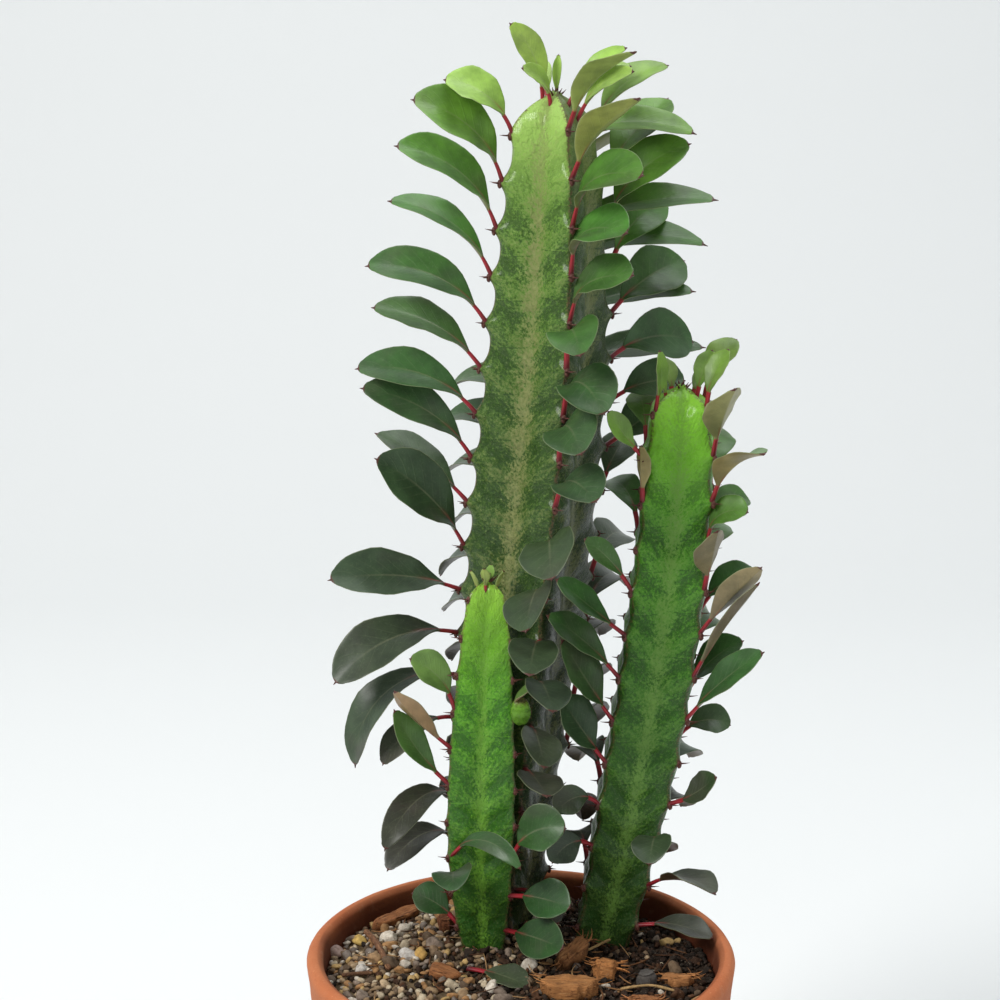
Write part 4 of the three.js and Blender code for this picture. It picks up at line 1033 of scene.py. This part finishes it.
def leaf_at(name, rib, k):
    """The pose and size of the leaf on one tooth, or None where it has none."""
    stem = STEMS[name]
    if rib in stem["bare_ribs"] or k in BARE_TEETH[name][rib]:
        return None
    habit = HABITS[name][rib]
    root, azimuth = tooth_point(stem, rib, k, LEAF["root"])
    f = share_of(stem, root[2])
    random = seeded(stem["number"] * 10007 + rib * 1009 + k * 101 + 7)
    leaf = {"root": root, "hold": habit["hold"], "bend": habit["bend"], "share": f}
    for key in ("yaw", "rise", "tip", "roll"):
        leaf[key] = along(habit[key], f) + JITTER[key] * (2 * next(random) - 1)
    leaf["yaw"] += azimuth
    for key in ("length", "width"):
        leaf[key] = along(habit[key], f) * (1 + JITTER[key] * (2 * next(random) - 1))
    own = EXCEPTIONS[name][rib].get(k, ())
    return {**leaf, **{key: value for key, value in zip(POSE, own) if value is not None}}


def crown_leaf(stem, young):
    """The pose of a young leaf, rooted at half the girth and just under its own height."""
    azimuth, below, *pose = young
    z = stem_top(stem) - below
    x, y = axis_at(stem, z)
    root = np.array([x, y, z - 2]) + 0.55 * girth_at(stem, z) * heading(azimuth)
    return {**dict(zip(POSE, pose)), "root": root, "hold": 0.1, "bend": 1, "share": 1}


def elevation(leaf, share):
    """The rise of a leaf's axis at a share of its length: held near the stem, then bent to its tip's."""
    bent = np.maximum(0, share - leaf["hold"]) / (1 - leaf["hold"])
    return leaf["rise"] + (leaf["tip"] - leaf["rise"]) * (1 - (1 - bent) ** leaf["bend"])


def half_width(leaf, u):
    """Half the width of a blade at a share of its length: an egg shape, widest past the middle."""
    p = math.log(0.5) / math.log(LEAF["widest"])
    return leaf["width"] / 2 * np.sin(np.pi * np.clip(u, 0, 1) ** p) ** LEAF["bluntness"]


def leaf_frames(leaf, shares):
    """Points along a leaf's axis, with its direction, its side and its upper face's direction."""
    fine = np.linspace(0, 1, 121)
    middles = (fine[1:] + fine[:-1]) / 2
    e = np.radians(elevation(leaf, middles))
    step = leaf["length"] / len(middles)
    run = np.concatenate([[0], np.cumsum(np.cos(e)) * step])
    rise = np.concatenate([[0], np.cumsum(np.sin(e)) * step])
    ahead = heading(leaf["yaw"])
    flat = np.array([-ahead[1], ahead[0], 0])
    out, up = np.interp(shares, fine, run), np.interp(shares, fine, rise)
    points = np.asarray(leaf["root"]) + out[:, None] * ahead + up[:, None] * UP
    e = np.radians(elevation(leaf, shares))[:, None]
    forward = np.cos(e) * ahead + np.sin(e) * UP
    above = np.cross(forward, flat)
    roll = np.radians(leaf["roll"]) * np.minimum(1, shares / 0.35)[:, None]
    side = flat * np.cos(roll) + above * np.sin(roll)
    return points, forward, side, np.cross(forward, side)


def grow_leaf(growth, leaf, upper, under, random):
    """Adds one leaf: a round stalk that flattens into a channelled blade with a small hard point."""
    stalk = min(LEAF["petiole"], leaf["length"] * 0.3) / leaf["length"]
    end = 1 + LEAF["mucro_length"]
    u = np.concatenate([STALK_STEPS, BLADE_STEPS, [end]])
    shares = np.where(u < 0, stalk * (1 + u), stalk + u * (1 - stalk))
    points, forward, side, above = leaf_frames(leaf, np.minimum(shares, 1))
    points = points + forward * (np.maximum(shares - 1, 0) * leaf["length"])[:, None]
    sway = LEAF["sway"] * leaf["length"] * (2 * random.random() - 1)
    points = points + side * (sway * np.clip(u, 0, 1) ** 2)[:, None]

    half_stalk = min(LEAF["petiole_width"], leaf["width"] * 0.3) / 2
    stalk_half = half_stalk * (1 + 0.3 * np.exp(-np.maximum(shares, 0) / 0.04))
    mucro = LEAF["mucro"] * 0.3 * (u > 0.97) * np.clip((end - u) / LEAF["mucro_length"], 0.1, 1)
    blade = half_width(leaf, u) + mucro
    fade = 1 - smooth(0, 0.3, u)
    half = ((stalk_half * fade) ** 3 + blade**3) ** (1 / 3)
    flatten = smooth(-0.05, 0.2, u)[:, None]
    v = BLADE_RING
    round_edge = np.sqrt(1 - np.abs(v) ** 2)
    blade_edge = np.sqrt(1 - np.abs(v) ** 7)
    shape = (round_edge * (1 - flatten) + blade_edge * flatten) * BLADE_SIDE
    size = LEAF["thickness"] * (1 + 0.7 * (1 - np.abs(v)) ** 2) * (1 - 0.3 * np.clip(u, 0, 1))[:, None]
    taper = 1 - 0.3 * np.clip(shares / stalk, 0, 1)[:, None]
    depth = LEAF["petiole_thickness"] * taper * (1 - flatten) + size * flatten
    depth = np.minimum(depth, 2.2 * half[:, None] + 0.15)
    keel = np.exp(-((v / 0.09) ** 2)) * (0.5 - 0.45 * np.clip(u, 0, 1))[:, None] * flatten
    fold = np.radians(LEAF["fold"] * (1 - 0.5 * np.clip(u, 0, 1)))[:, None] * (u > 0)[:, None]
    phase, waves = 6.28 * random.random(), 1.6 + 1.6 * random.random()
    ripple = np.sin(2 * np.pi * waves * u + phase)[:, None] * np.abs(v) ** 3 * np.sign(v)
    ripple = LEAF["ripple"] * half[:, None] * ripple * flatten
    out = half[:, None] * v * np.cos(fold)
    lift = half[:, None] * np.abs(v) ** 1.4 * np.sin(fold) + ripple
    lift = lift + shape * depth / 2 - keel * (0.55 - 0.45 * (BLADE_SIDE + 1) / 2)
    ring = points[:, None] + side[:, None] * out[..., None] + above[:, None] * lift[..., None]

    place = np.stack(np.broadcast_arrays(u[:, None], v, BLADE_SIDE), axis=-1).reshape(-1, 3)
    age = np.clip(place[:, :1], 0, 1)
    growth.loft(ring, blade=place, upper=upper * (0.9 + 0.2 * age), under=under * (0.95 + 0.1 * age))


def build_leaves(name, stem, look):
    growth = Growth()
    random = np.random.default_rng(90 + stem["number"])
    leaves = [crown_leaf(stem, young) for young in CROWNS[name]]
    for rib in range(len(stem["ribs"])):
        for k in range(tooth_count(stem)):
            leaf = leaf_at(name, rib, k)
            if leaf:
                leaves.append(leaf)
    for leaf in leaves:
        shade = 1 + 0.14 * (2 * random.random() - 1)
        warm = 1 + 0.08 * (2 * random.random() - 1)
        hue = np.array([shade * warm, shade, shade / warm])
        f = leaf["share"] + 0.05 * (2 * random.random() - 1)
        grow_leaf(
            growth, leaf, blend_colours(look["upper"], f) * hue, blend_colours(look["under"], f) * hue,
            random,
        )
    growth.piece(name + "_leaves", leaf_material(name + "_blade"), name, look["slot"])


# ---------------------------------------------------------------- spines

SHIELD = {"depth": 0.55, "drop": 0.4, "size": 1.7}
TUFT = 9  # small spines round each apex
GOLDEN_TURN = 2.4  # radians from one spine of the tuft to the next
SHIELD_TONE = (88, 50, 44)
SPINE_TONE = (74, 32, 30)


def grow_spine(growth, point, azimuth, lift, length):
    """A horny spine that tapers and turns up a little towards its tip."""
    s = np.linspace(-SPINE["root"] / length, 1, 7)[:, None]
    path = point + heading(azimuth, lift) * length * s + 0.12 * UP * length * np.maximum(s, 0) ** 2
    radii = SPINE["radius"] * np.clip(1 - s[:, 0], 0.08, 1) ** 0.75
    rings = tube(path, radii)
    tones = linear(SHIELD_TONE) + (linear(SPINE_TONE) - linear(SHIELD_TONE)) * smooth(-0.1, 0.3, s)
    growth.loft(rings, tone=np.repeat(tones, rings.shape[1], axis=0))


def grow_shield(growth, point, azimuth, size):
    """The horny pad on a tooth: a low oval dome with its middle at the point."""
    out = heading(azimuth)
    side = np.array([-out[1], out[0], 0])
    angles = full_turn(10)[:, None]
    rings = []
    for turn in np.radians([-30, 0, 30, 55, 78]):
        r, rise = math.cos(turn), math.sin(turn)
        rings.append(
            point + out * rise * size * 0.5 + side * (r * size * 0.62 * np.cos(angles))
            + UP * (r * size * np.sin(angles))
        )
    growth.loft(np.stack(rings), tone=linear(SHIELD_TONE))


def build_spines(name, stem, look):
    growth = Growth()
    random = np.random.default_rng(190 + stem["number"])
    for rib in range(len(stem["ribs"])):
        if rib in stem["bare_ribs"]:
            continue
        for k in range(tooth_count(stem)):
            point, azimuth = tooth_point(stem, rib, k, SHIELD["depth"])
            grow_shield(growth, point - SHIELD["drop"] * UP, azimuth, SHIELD["size"])
            length = SPINE["length"] * (0.75 + 0.35 * random.random())
            for turn in (-1, 1):
                aim = azimuth + turn * SPINE["spread"] * (0.85 + 0.3 * random.random())
                grow_spine(growth, point, aim, SPINE["sag"] + 10 * random.random(), length)
    top = stem_top(stem)
    x, y = axis_at(stem, top)
    for i in range(TUFT):
        a = GOLDEN_TURN * i
        reach = 0.5 + 0.22 * i
        point = np.array([x + reach * math.cos(a), y + reach * math.sin(a), top + 1.2 - 0.12 * i])
        grow_spine(growth, point, math.degrees(a), 75 - 5 * i, 1.6 + 0.12 * i)
    growth.piece(name + "_spines", spine_material(), name, look["slot"])


# ---------------------------------------------------------------- potting mix

BED_TONES = {"soil": (44, 31, 22), "fines": (132, 112, 84)}
# Kinds of grain in the mix: colours, smallest and largest radius, and how flat and how uneven.
STONES = {
    "colours": [
        (186, 162, 130), (160, 134, 102), (204, 188, 160), (132, 110, 86), (196, 164, 108), (140, 124, 110),
        (214, 204, 188), (104, 86, 68), (172, 130, 86), (122, 112, 104),
    ],
    "sizes": (0.9, 3.4), "flatness": (0.5, 0.9), "uneven": 0.1, "sides": 8,
}
CRUMBS = {
    "colours": [(46, 31, 22), (58, 39, 26), (37, 28, 21), (70, 47, 31), (52, 41, 32), (88, 58, 36)],
    "sizes": (0.6, 2.4), "flatness": (0.6, 1.0), "uneven": 0.34, "sides": 9,
}
FIBRES = {
    "count": 110, "length": 13, "radius": 0.32, "lift": 1.2,
    "colours": [(150, 108, 68), (112, 74, 44), (176, 138, 94), (86, 56, 36)],
}
# Layers of grains, largest first: how many, how close they lie, and their range of sizes as shares.
LAYERS = ((90, 0.9, 0.5, 1.0), (520, 0.76, 0.2, 0.5), (1700, 0.6, 0.0, 0.22))
MOST_TRIES = 12000
# Stones that stand out in the photograph: middle, radius and colour.
MARKED_STONES = [
    ((-70.0, 14.8), 2.9, (186, 160, 150)), ((-61.6, 25.1), 3.0, (208, 176, 100)),
    ((-42.3, 5.7), 3.4, (218, 212, 204)), ((-37.5, 6.6), 2.6, (206, 166, 96)),
    ((-59.6, -2.3), 2.4, (204, 198, 190)), ((-55.0, 4.9), 2.6, (176, 142, 104)),
]
STRAW = dict(radius=0.55, colour=(190, 156, 106))
STRAWS = [
    [(25.5, 8.5, 1.6), (35, 21, 2.4), (44, 33.6, 1.5)],
    [(36, -24, 1.6), (47, -21, 2.2), (56, -22, 1.4)],
]


def mix_height(x, y):
    """Height of the mix without its grains."""
    f = np.minimum(np.hypot(x, y) / (POT["rim"] - POT["wall"]), 1)
    hollow = MIX["hollow"]
    away = ((x - hollow["x"]) ** 2 + (y - hollow["y"]) ** 2) / hollow["reach"] ** 2
    return MIX["crown"] + (MIX["edge"] - MIX["crown"]) * f * f - hollow["depth"] * np.exp(-away)


def gravelly(x, y):
    """Share of stones among the grains: high at the left and front, low at the right."""
    return np.clip(0.36 - (np.asarray(x) - 0.25 * np.asarray(y)) / 90, 0.08, 0.85)


def build_bed():
    """The mix under its loose grains: a crowned, crumbly top on a plain block."""
    n, rings = MIX["facets"], MIX["rings"]
    edge = pot_radius(MIX["edge"]) - POT["wall"] - MIX["clear"]
    angles = full_turn(n)
    bottom = POT["floor"] + MIX["floor_clear"]
    levels = [circle(1, angles, bottom), circle(30, angles, bottom)]
    for z in (bottom, *np.linspace(bottom + 8, MIX["edge"] - 2, 12)):
        levels.append(circle(pot_radius(z) - POT["wall"] - MIX["clear"], angles, z))
    for r in edge * (1 - np.arange(rings) / (rings - 0.6)):
        points = circle(r, angles, 0)
        points[:, 2] = mix_height(points[:, 0], points[:, 1]) - 0.9
        relief = 0.9 * noise_at(points, 5, 21) + 0.5 * noise_at(points, 1.8, 22)
        levels.append(points + np.outer(relief, UP))
    points = np.concatenate(levels)
    fines = gravelly(points[:, 0], points[:, 1])[:, None]
    colour = linear(BED_TONES["soil"]) * (1 - fines) + linear(BED_TONES["fines"]) * fines
    growth = Growth()
    growth.loft(np.stack(levels), tone=colour * (1 + 0.3 * noise_at(points, 9, 23))[:, None])
    growth.piece("soil_bed", ground_material("peat", 1.6, 0.8, 0.95), "potting_mix", "gritty_mix")


def icosphere(subdivisions):
    shape = bmesh.new()
    bmesh.ops.create_icosphere(shape, subdivisions=subdivisions, radius=1)
    points = np.array([v.co[:] for v in shape.verts])
    faces = [tuple(v.index for v in face.verts) for face in shape.faces]
    shape.free()
    return points, faces


def turned(points, random):
    """Points turned at random, mostly about the upright."""
    tilt, roll, turn = 0.5 * random.normal(), 0.5 * random.normal(), 6.28 * random.random()
    for (i, j), angle in (((1, 2), tilt), ((0, 2), roll), ((0, 1), turn)):
        c, s = math.cos(angle), math.sin(angle)
        a, b = points[:, i].copy(), points[:, j].copy()
        points[:, i], points[:, j] = c * a - s * b, s * a + c * b
    return points


def grow_grain(growth, ball, place, radius, kind, colour, random):
    points, faces = ball
    low, high = kind["flatness"]
    size = radius * np.array([1.18, 0.78 + 0.3 * random.random(), low + (high - low) * random.random()])
    uneven = 1 + kind["uneven"] * 1.6 * noise_at(points, 0.9, random.integers(1000))
    # cut by planes at random distances, a ball becomes a broken stone
    planes = random.normal(size=(kind["sides"], 3))
    planes /= np.linalg.norm(planes, axis=1, keepdims=True)
    facing = np.maximum(points @ planes.T, 0.05)
    cut = np.min((0.62 + 0.34 * random.random(kind["sides"])) / facing, axis=1)
    shape = turned(points * (np.minimum(cut, 1.12) * uneven)[:, None] * size, random)
    tone = colour * (1 + 0.25 * noise_at(points, 0.7, random.integers(1000)))[:, None]
    growth.add(shape + place, faces, tone=tone)


def taken_ground():
    """Discs of the mix that stems, chips and twigs cover: x, y, radius."""
    discs = []
    for stem in STEMS.values():
        z = stem_foot(stem) + 3
        x, y = axis_at(stem, z)
        reach = girth_at(stem, z)
        for rib in range(len(stem["ribs"])):
            ahead = heading(rib_azimuth(stem, rib, z))
            for f in (0.3, 0.6, 0.8):
                discs.append((x + f * reach * ahead[0], y + f * reach * ahead[1], 0.22 * reach))
        discs.append((x, y, 0.42 * reach))
    for chip in CHIPS.values():
        length, width, _ = chip["size"]
        x, y = chip["middle"]
        ahead = heading(chip["turn"])
        for f in np.linspace(-0.5, 0.5, 5) * (length - width) / length:
            discs.append((x + f * length * ahead[0], y + f * length * ahead[1], 0.42 * width))
    for twig in TWIGS.values():
        discs += [(x, y, 1.0) for x, y, _ in twig["path"]]
    return discs


def lay_fibres(growth, random):
    """Loose fibres of husk strewn over the mix: thin, curved and lying along the ground."""
    reach = POT["rim"] - POT["wall"] - 10
    for _ in range(FIBRES["count"]):
        a, r = 6.283 * random.random(), reach * math.sqrt(random.random())
        turn, curve = 6.283 * random.random(), 1.6 * random.normal()
        length = FIBRES["length"] * (0.4 + 0.8 * random.random())
        s = np.linspace(-0.5, 0.5, 9)
        x = r * math.cos(a) + length * (s * math.cos(turn) - 0.2 * curve * s**2 * math.sin(turn))
        y = r * math.sin(a) + length * (s * math.sin(turn) + 0.2 * curve * s**2 * math.cos(turn))
        up = FIBRES["lift"] + 1.4 * np.abs(random.normal()) * (s + 0.5) ** 2
        path = np.column_stack([x, y, mix_height(x, y) + up])
        radii = FIBRES["radius"] * (0.6 + 0.5 * random.random()) * (1 - 0.6 * np.abs(2 * s) ** 3)
        colour = linear(FIBRES["colours"][random.integers(len(FIBRES["colours"]))])
        growth.loft(tube(path, radii, 5), tone=colour)


def build_gravel():
    """Stones and crumbs laid one by one where there is room, the largest first."""
    random = np.random.default_rng(2024)
    fine, coarse = icosphere(2), icosphere(3)
    growth = Growth()
    placed = taken_ground()
    reach = POT["rim"] - POT["wall"] - 2.2

    def lay(x, y, radius, kind, colour, sink):
        placed.append((x, y, radius))
        z = mix_height(x, y) + radius * sink
        ball = coarse if radius > 2 else fine
        grow_grain(growth, ball, np.array([x, y, z]), radius, kind, colour, random)

    for (x, y), radius, colour in MARKED_STONES:
        lay(x, y, radius, STONES, linear(colour), 0.35)
    for wanted, room, low, high in LAYERS:
        tries = 0
        while wanted > 0 and tries < MOST_TRIES:
            tries += 1
            a, r = 6.283 * random.random(), reach * math.sqrt(random.random())
            x, y = r * math.cos(a), r * math.sin(a)
            kind = STONES if random.random() < gravelly(x, y) else CRUMBS
            small, large = kind["sizes"]
            radius = small + (large - small) * (low + (high - low) * random.random())
            taken = np.array(placed)
            near = np.hypot(taken[:, 0] - x, taken[:, 1] - y) < room * (taken[:, 2] + radius)
            if near.any() or math.hypot(x, y) + radius > reach + 1.5:
                continue
            colours = kind["colours"]
            colour = linear(colours[random.integers(len(colours))]) * (0.8 + 0.4 * random.random())
            lay(x, y, radius, kind, colour, 0.05 + 0.3 * random.random())
            wanted -= 1
    lay_fibres(growth, random)
    growth.piece("gravel", ground_material("grit", 1.3, 0.35), "potting_mix", "gritty_mix", turn_out=False)


# ---------------------------------------------------------------- bark, husk, stone, twigs

CHIP_FACETS = 84
# Levels of a chip from its underside to its top: share of the outline, inset in mm, share of the height.
CHIP_LEVELS = [
    (0.02, 0, -0.5), (0.5, 0, -0.5), (1, 1.1, -0.5), (1, 0.35, -0.42), (1, 0, -0.25), (1, 0, 0),
    (1, 0, 0.25), (1, 0.3, 0.4), (1, 0.9, 0.49), (0.8, 0, 0.5), (0.6, 0, 0.5), (0.4, 0, 0.5),
    (0.2, 0, 0.5), (0.02, 0, 0.5),
]


def chip_outline(chip, directions):
    """How far a chip's outline lies from its middle in each direction, with softened corners."""
    random = seeded(chip["seed"])
    length, width, _ = chip["size"]
    corners = []
    for i in range(chip["corners"]):
        a = 2 * math.pi * (i + 0.5 * next(random)) / chip["corners"]
        reach = 1 - CHIP_UNEVENNESS * next(random)
        corners.append((length / 2 * reach * math.cos(a), width / 2 * reach * math.sin(a)))
    corners = np.array(corners)
    corners -= (corners.max(axis=0) + corners.min(axis=0)) / 2
    reach = np.full(len(directions), np.inf)
    ahead = np.column_stack([np.cos(directions), np.sin(directions)])
    for p, q in zip(corners, np.roll(corners, -1, axis=0)):
        edge = q - p
        cross = ahead[:, 0] * edge[1] - ahead[:, 1] * edge[0]
        cross = np.where(np.abs(cross) < 1e-9, 1e-9, cross)
        away = (p[0] * edge[1] - p[1] * edge[0]) / cross
        share = (p[0] * ahead[:, 1] - p[1] * ahead[:, 0]) / cross
        hit = (away > 0) & (share >= -1e-6) & (share <= 1 + 1e-6)
        reach = np.where(hit, np.minimum(reach, away), reach)
    return (reach + np.roll(reach, 1) + np.roll(reach, -1)) / 3


def place_chip(points, chip):
    """Turns a chip from its own axes to the way it lies in the pot."""
    x, y, z = np.moveaxis(points, -1, 0)
    across, along_, turn = (math.radians(v) for v in (chip["tilt"][1], -chip["tilt"][0], chip["turn"]))
    y, z = y * math.cos(across) - z * math.sin(across), y * math.sin(across) + z * math.cos(across)
    x, z = x * math.cos(along_) + z * math.sin(along_), z * math.cos(along_) - x * math.sin(along_)
    x, y = x * math.cos(turn) - y * math.sin(turn), x * math.sin(turn) + y * math.cos(turn)
    mx, my = chip["middle"]
    return np.stack([x + mx, y + my, z + mix_height(mx, my) + chip["lift"]], axis=-1)


def fray(growth, chip, colour):
    """Fibres that have come loose along a husk piece: on its top and out of its two ends."""
    random = np.random.default_rng(chip["seed"])
    length, width, height = chip["size"]
    for i in range(FRAY["count"]):
        end = (-1) ** i
        out = end * length * (0.12 + 0.32 * random.random())
        run = end * (3 + 0.18 * length * random.random())
        y, turn = width * (random.random() - 0.5) * 0.6, 3 * random.normal()
        z = height * (0.1 + 0.42 * random.random())
        s = np.linspace(0, 1, 7)
        path = np.column_stack([out + run * s, y + turn * s**2, z + FRAY["lift"] * random.random() * s**2])
        radii = FRAY["radius"] * (0.6 + 0.6 * random.random()) * (1 - 0.7 * s**2)
        rings = tube(path, radii, 5)
        fibre = rings.reshape(-1, 3) * [0.1, 0.5, 0.5] + i
        growth.loft(place_chip(rings, chip), tone=colour * (0.7 + 0.8 * random.random()), fibre=fibre)


def build_chip(name, chip):
    slot, colour, seed = chip["slot"], linear(chip["colour"]), chip["seed"]
    stone = slot == "grey_stone"
    directions = full_turn(CHIP_FACETS)
    reach = chip_outline(chip, directions)
    height = chip["size"][2]
    levels = []
    for share, inset, rise in CHIP_LEVELS:
        if stone and share == 1:
            inset = 1.6 * abs(rise * 2) ** 3
        r = np.maximum(reach * share - inset, 0.02 * reach)
        levels.append(circle(r, directions, rise * height))
    points = np.concatenate(levels)
    outward = points / np.maximum(np.linalg.norm(points, axis=1, keepdims=True), 0.5)
    strands = noise_at(points * [0.16, 1.4, 1.0], 1.2, seed)
    lumps = noise_at(points, 3.5, seed + 1)
    if stone:
        relief = 0.25 * lumps
    elif slot == "coconut_husk":
        crumbs = noise_at(points, 1.1, seed + 2)
        relief = 0.6 * strands + 0.8 * lumps + 0.4 * crumbs
    else:
        relief = 0.38 * strands + 0.5 * lumps
    points = points + outward * (relief - 0.35)[:, None]
    tone = np.outer(1 + 0.3 * lumps + 0.25 * strands, colour)
    fibre = points * [0.12, 0.9, 0.9] + seed
    rings = place_chip(points, chip).reshape(len(levels), -1, 3)
    growth = Growth()
    growth.loft(rings, tone=tone, fibre=fibre)
    if slot == "coconut_husk":
        fray(growth, chip, colour)
    growth.piece(name + "_piece", CHIP_MATERIALS[slot], name, slot)


TWIG_RINGS = 60
TWIG_SIDES = 14


def spline_path(path, count):
    """A smooth path through points given with their height over the mix."""
    path = np.array([(x, y, mix_height(x, y) + up) for x, y, up in path])
    ends = np.concatenate([[2 * path[0] - path[1]], path, [2 * path[-1] - path[-2]]])
    points = []
    for s in np.linspace(0, len(path) - 1 - 1e-9, count):
        i = int(s)
        t = s - i
        a, b, c, d = ends[i:i + 4]
        points.append(0.5 * (
            2 * b + (c - a) * t + (2 * a - 5 * b + 4 * c - d) * t**2 + (3 * b - a - 3 * c + d) * t**3
        ))
    return np.array(points)


def build_twig(name, path, radius, colour, node, material):
    """A knotty twig or straw along a path, with blunt ends."""
    path = spline_path(path, TWIG_RINGS)
    seed = int(radius * 10)
    knots = 1 + 0.16 * noise_at(path, 2.5, seed)
    steps = np.arange(TWIG_RINGS)
    ends = np.minimum(1, 0.45 + 3 * np.minimum(steps, steps[::-1]) / 8)
    points = tube(path, radius * 0.94 * knots * ends, TWIG_SIDES).reshape(-1, 3)
    points = points + 0.05 * radius * noise_at(points, 0.7, seed)[:, None]
    turn = np.tile(full_turn(TWIG_SIDES), TWIG_RINGS)
    fibre = np.column_stack([np.repeat(steps, TWIG_SIDES) * 0.08, np.cos(turn), np.sin(turn)]) * 1.2
    tone = np.outer(1 + 0.25 * noise_at(points, 2, seed + 3), linear(colour))
    growth = Growth()
    growth.loft(points.reshape(TWIG_RINGS, TWIG_SIDES, 3), tone=tone, fibre=fibre)
    growth.piece(name, material, node, "twig" if node != "potting_mix" else "gritty_mix")


SHED_TONES = {"upper": (70, 82, 56), "under": (92, 84, 62)}


def build_fallen_leaf():
    growth = Growth()
    random = np.random.default_rng(7)
    leaf = {**FALLEN_LEAF, "root": np.array(FALLEN_LEAF["root"]), "share": 0}
    grow_leaf(growth, leaf, linear(SHED_TONES["upper"]), linear(SHED_TONES["under"]), random)
    growth.piece("shed_leaf", leaf_material("shed_leaf"), "fallen_leaf", "dark_leaf")


# ---------------------------------------------------------------- stage, light, camera

# The pale backdrop, in metres: how far it comes forward, its wall, its bend, its width and its colour.
STUDIO = {
    "front": 3.0, "back": 1.6, "top": 3.2, "bend": 0.6, "half_width": 4, "colour": (0.835, 0.85, 0.85, 1),
}
SKY = {"colour": (0.95, 0.98, 1.0, 1), "strength": 0.45}
# Lamps: place in metres, size, power in watts and colour.
LAMPS = {
    "key": ((-1.2, -0.9, 1.5), 0.8, 26, (1.0, 0.985, 0.96)),
    "top": ((0.3, 0.3, 1.9), 1.2, 14, (0.97, 0.99, 1.0)),
    "fill": ((1.3, -1.0, 0.7), 1.2, 2.5, (0.97, 0.99, 1.0)),
}
PLANT_MIDDLE = Vector((0, 0, 0.24))


def build_stage():
    """A pale floor that turns up into a pale wall well behind the plant."""
    back, bend, half = STUDIO["back"], STUDIO["bend"], STUDIO["half_width"]
    curve = [(-STUDIO["front"], 0.0), (back - bend, 0.0)]
    for angle in np.radians(np.linspace(-80, 0, 9)):
        curve.append((back - bend + bend * math.cos(angle), bend + bend * math.sin(angle)))
    curve.append((back, STUDIO["top"]))
    points = [(x, y, z) for y, z in curve for x in (-half, half)]
    faces = [(2 * i, 2 * i + 1, 2 * i + 3, 2 * i + 2) for i in range(len(curve) - 1)]
    mesh = bpy.data.meshes.new("studio_floor")
    mesh.from_pydata(points, [], faces)
    mesh.polygons.foreach_set("use_smooth", [True] * len(mesh.polygons))
    mesh.materials.append(Shader("pale_paper").finish(STUDIO["colour"], 0.9))
    floor = bpy.data.objects.new("studio_floor", mesh)
    bpy.context.scene.collection.objects.link(floor)


def build_light():
    world = bpy.data.worlds.new("studio")
    world.use_nodes = True
    sky = world.node_tree.nodes["Background"]
    sky.inputs["Color"].default_value = SKY["colour"]
    sky.inputs["Strength"].default_value = SKY["strength"]
    bpy.context.scene.world = world
    for name, (place, size, power, colour) in LAMPS.items():
        light = bpy.data.lights.new(name, "AREA")
        light.shape, light.size, light.energy, light.color = "DISK", size, power, colour
        lamp = bpy.data.objects.new(name, light)
        lamp.location = place
        lamp.rotation_euler = (PLANT_MIDDLE - Vector(place)).to_track_quat("-Z", "Y").to_euler()
        bpy.context.scene.collection.objects.link(lamp)
    bpy.context.scene.view_settings.view_transform = "Standard"


def build_camera():
    """The photograph's viewpoint: level, looking down by its pitch."""
    camera = bpy.data.cameras.new("camera")
    camera.sensor_width = 36
    camera.lens = CAMERA["focal"] * camera.sensor_width / CAMERA["frame"]
    holder = bpy.data.objects.new("camera", camera)
    holder.location = (np.array(CAMERA["place"]) + POT_AXIS) * MM
    holder.rotation_euler = (math.radians(90 - CAMERA["pitch"]), 0, 0)
    bpy.context.scene.collection.objects.link(holder)
    bpy.context.scene.camera = holder


# ---------------------------------------------------------------- the scene

CHIP_MATERIALS = {
    "bark": fibre_material("bark_fibre", (70, 40, 26)),
    "coconut_husk": fibre_material("husk_fibre", (92, 54, 30)),
    "grey_stone": ground_material("slate", 1.1, 0.25),
    "twig": fibre_material("twig_fibre", (66, 42, 30)),
    "straw": fibre_material("straw_fibre", (150, 116, 70)),
}

build_camera()
build_stage()
build_light()
build_pot()
build_bed()
build_gravel()
for name, stem in STEMS.items():
    build_stem_body(name, stem, STEM_LOOKS[name])
    build_leaves(name, stem, STEM_LOOKS[name])
    build_spines(name, stem, STEM_LOOKS[name])
for name, chip in CHIPS.items():
    build_chip(name, chip)
for name, twig in TWIGS.items():
    build_twig(name + "_piece", **twig, node=name, material=CHIP_MATERIALS["twig"])
for i, path in enumerate(STRAWS):
    build_twig(f"straw_{i}", path, **STRAW, node="potting_mix", material=CHIP_MATERIALS["straw"])
build_fallen_leaf()
for piece in bpy.context.scene.objects:
    if piece.type == "MESH" and piece.name != "studio_floor" and piece.name not in frame["nodes"]:
        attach(piece, "root")
